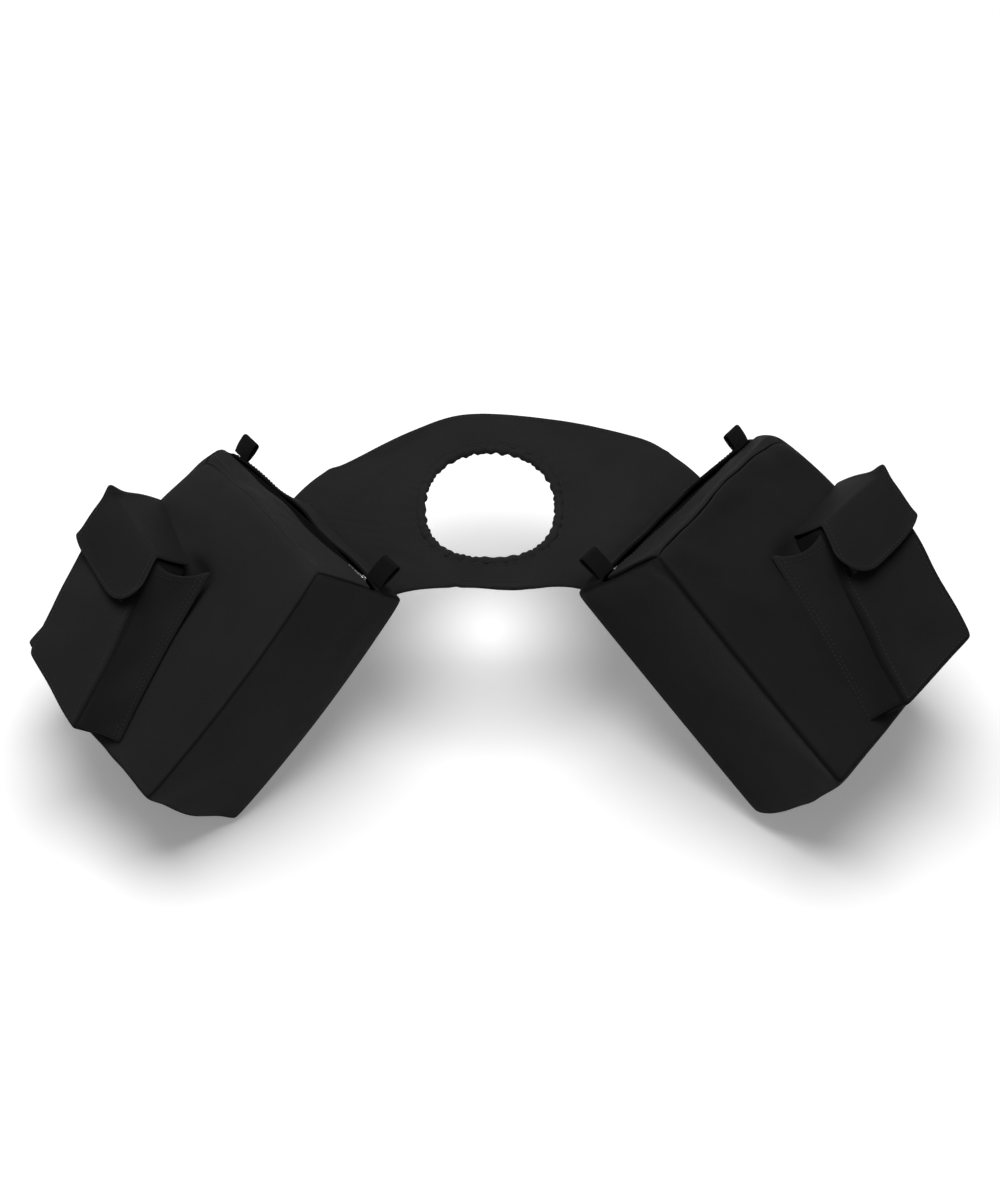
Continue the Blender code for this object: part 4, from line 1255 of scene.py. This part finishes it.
def make_strips(pouch, pocket, flap):
    """The loop tape on the pocket's face and the hook tape on the flap's underside."""
    face = surface_of(pocket)
    for name, body, stand, node in (("loop_tape", pouch.body, 0.0006, "loop_strip"),
                                    ("hook_tape", f"{pouch.name}_flap_body", 0.0018, "hook_strip")):
        def shape(a, b):
            point = pouch.world(*pouch.pocket_face(mix(0.12, 0.88, b), mix(0.17, 0.29, a), 0.02))
            place, normal = nearest(face, point)
            return place + pouch.out * stand

        strip = make_sheet(f"{pouch.name}_{name}", fuzz, 6, 24, shape, lambda a, b: (b * 0.07, a * 0.019))
        thicken(strip, 0.0011, 0, None, 0.0)
        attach(strip, body)
        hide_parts(f"{pouch.name}_{node}")


pockets, flaps = {}, {}
for name, pouch in pouches.items():
    pockets[name] = make_pocket(pouch)
    flaps[name] = make_flap(pouch)
    make_strips(pouch, pockets[name], flaps[name])


# ==== the sleeves =======================================================================================
# A canvas sleeve, open at its top, lies between the near edge of each flap pocket and a double seam on the
# front panel. Its mouth is hemmed and gapes.
SLEEVE_SEAM_TOP = (0.096, -0.073)
SLEEVE_SEAM_BOTTOM = (0.052, -0.228)
SLEEVE_WIDE = 0.048
SLEEVE_TALL = 0.158
SLEEVE_FLOOR = 0.985         # where the floor is, as a share of the way down


def sleeve_point(pouch, a, b, lift=0.0):
    """A point of the sleeve: a from its seam to the pocket, b from its mouth down."""
    t = mix(SLEEVE_SEAM_TOP[0], SLEEVE_SEAM_BOTTOM[0], b)
    u = mix(SLEEVE_SEAM_TOP[1], SLEEVE_SEAM_BOTTOM[1], b)
    seam = Vector((t, pouch.front_surface(t, u) + 0.0006, u))
    edge = pouch.pocket_face(-0.006, mix(0.02, 0.98, b), -0.003)
    point = mix(seam, edge, a)
    belly = math.sin(math.pi * a) * (0.004 * math.exp(-b * 12) - 0.003)
    dip = 0.009 * math.sin(math.pi * a) * math.exp(-b * 8)
    return pouch.world(point.x - belly * 0.5, point.y + belly + lift, point.z - dip)


def make_sleeve(pouch):
    def shape(a, b):
        place = sleeve_point(pouch, b, a)
        return place + pouch.out * unevenness(place, 0.035, 0.0030, 13.0) * math.sin(math.pi * b)

    sleeve = make_sheet(f"{pouch.name}_sleeve", canvas, 30, 12, shape,
                        lambda a, b: (b * SLEEVE_WIDE, a * SLEEVE_TALL))
    if pouch.side["mirror"] < 0:
        sleeve.data.flip_normals()
    mouth = [sleeve_point(pouch, k / 20, 0.0) for k in range(21)]
    mark_worn(sleeve, near_line(mouth, 0.004))
    thicken(sleeve, 0.0022, 1, lining_cloth, 0.0)
    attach(sleeve, pouch.body)
    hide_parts(f"{pouch.name}_sleeve_face")

    def floor_shape(a, b):
        lower = sleeve_point(pouch, b, SLEEVE_FLOOR, -0.0005)
        inner = pouch.world(*pouch.pocket_root(-0.004, SLEEVE_FLOOR, -0.002))
        start = sleeve_point(pouch, 0.0, SLEEVE_FLOOR, -0.001)
        return mix(lower, mix(start, inner, b), a)

    floor = make_sheet(f"{pouch.name}_sleeve_floor", canvas, 6, 10, floor_shape,
                       lambda a, b: (b * SLEEVE_WIDE, a * 0.03))
    mark_worn(floor, lambda point: 0.2)
    thicken(floor, 0.0016, 1, None, 0.0)
    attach(floor, pouch.body)
    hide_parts(f"{pouch.name}_sleeve_bottom")
    return sleeve


sleeves = {name: make_sleeve(pouch) for name, pouch in pouches.items()}


# ==== the stitching =====================================================================================
# Bonded black thread, 0.5 mm thick, 3 mm to the stitch. Each row is sunk a little into the cloth.
thread = plain_material("bonded thread", (0.0075, 0.0075, 0.008), 0.7, 0.0, 0.0001, 3000.0)
STITCH = 0.0029
STITCH_GAP = 0.0011
STITCH_HALF = 0.00030


def resample(points, step):
    """Places a step apart along a line of points."""
    places, left = [], 0.0
    for a, b in zip(points, points[1:]):
        length = (b - a).length
        while left < length:
            places.append(a + (b - a) * (left / length))
            left += step
        left -= length
    return places


def sew_row(bm, surfaces, points):
    """Adds a row of stitches along points, each lying on the nearest of the surfaces."""
    for start, end in zip(*[iter(resample(points, STITCH / 2 + STITCH_GAP / 2))] * 2):
        first, normal = nearest(surfaces, start)
        last, _ = nearest(surfaces, end)
        run = last - first
        if run.length < 0.0005 or run.length > 2 * STITCH:
            continue
        run.normalize()
        side = normal.cross(run).normalized()
        middle = (first + last) / 2
        rings = []
        for x, size, lift in ((-0.5, 0.35, -0.0001), (-0.34, 0.9, 0.0002), (0.0, 1.0, 0.00030),
                              (0.34, 0.9, 0.0002), (0.5, 0.35, -0.0001)):
            place = middle + run * (x * STITCH) + normal * lift
            turns = [k * math.pi / 3 for k in range(6)]
            ring = [(side * math.cos(turn) + normal * math.sin(turn)) * STITCH_HALF * size for turn in turns]
            rings.append([bm.verts.new(place + away) for away in ring])
        join_rings(bm, rings)


def finish_stitches(name, bm, body):
    rows = mesh_piece(name, bm, thread, True)
    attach(rows, body)


def sew_yoke():
    surfaces = surface_of(yoke)
    bm = bmesh.new()
    above = Vector((0.0, 0.0, 0.003))
    inset = [point * (1.0 - 0.0055 / point.length) + above for point in yoke_outline()]
    near_edge = [Vector((mix(inset[0].x, inset[-1].x, k / 40), YOKE_NEAR_EDGE + 0.0060, 0.003))
                 for k in range(41)]
    round_hole = [hole_point(2 * math.pi * k / 90, 2 * HEM_RADIUS + 0.0016) + above for k in range(91)]
    for row in (near_edge, inset[1:-1], round_hole):
        sew_row(bm, surfaces, row)
    finish_stitches("yoke_stitches", bm, "yoke")


def sew_pouch(pouch):
    name = pouch.name
    shell, lid = shells[name]
    shares = [k / 40 for k in range(41)]

    def top_row(depth, lift):
        return [pouch.settled(mix(0.006, POUCH_WIDTH - 0.006, s), depth, 0.0) + pouch.up * lift
                for s in shares]

    def pocket_row(start, end):
        return [pouch.world(*pouch.pocket_face(mix(start[0], end[0], s), mix(start[1], end[1], s), 0.004))
                for s in shares]

    def flap_row(start, end):
        return [flap_point(pouch, mix(start[0], end[0], s), mix(start[1], end[1], s), 0.004) for s in shares]

    on_pouch = bmesh.new()
    sew_row(on_pouch, surface_of(shell), top_row(ZIP_DEPTH - ZIP_HALF - 0.003, 0.004))
    sleeve = surface_of(sleeves[name])
    for gap in (0.0026, 0.0066):
        row = [sleeve_point(pouch, 0.0, s) + pouch.out * 0.004 + pouch.along * gap for s in shares]
        sew_row(on_pouch, sleeve, row)
    sew_row(on_pouch, sleeve, [sleeve_point(pouch, mix(0.05, 0.97, s), 0.055, 0.004) for s in shares])
    pocket = surface_of(pockets[name])
    for start, end in (((0.035, 0.02), (0.035, 0.98)), ((0.965, 0.02), (0.965, 0.98)),
                       ((0.03, 0.975), (0.97, 0.975)), ((0.03, 0.04), (0.97, 0.04))):
        sew_row(on_pouch, pocket, pocket_row(start, end))
    finish_stitches(f"{name}_pouch_stitches", on_pouch, pouch.body)
    on_lid = bmesh.new()
    for depth in (ZIP_DEPTH + ZIP_HALF + 0.003, POUCH_DEPTH - 0.006):
        sew_row(on_lid, surface_of(lid), top_row(depth, 0.006))
    finish_stitches(f"{name}_lid_stitches", on_lid, f"{name}_lid_body")
    on_flap = bmesh.new()
    corners = ((0.05, 0.1), (0.05, 0.955), (0.95, 0.955), (0.95, 0.1))
    edge = [point for start, end in zip(corners, corners[1:]) for point in flap_row(start, end)]
    sew_row(on_flap, surface_of(flaps[name]), edge)
    finish_stitches(f"{name}_flap_stitches", on_flap, f"{name}_flap_body")


sew_yoke()
for pouch in pouches.values():
    sew_pouch(pouch)
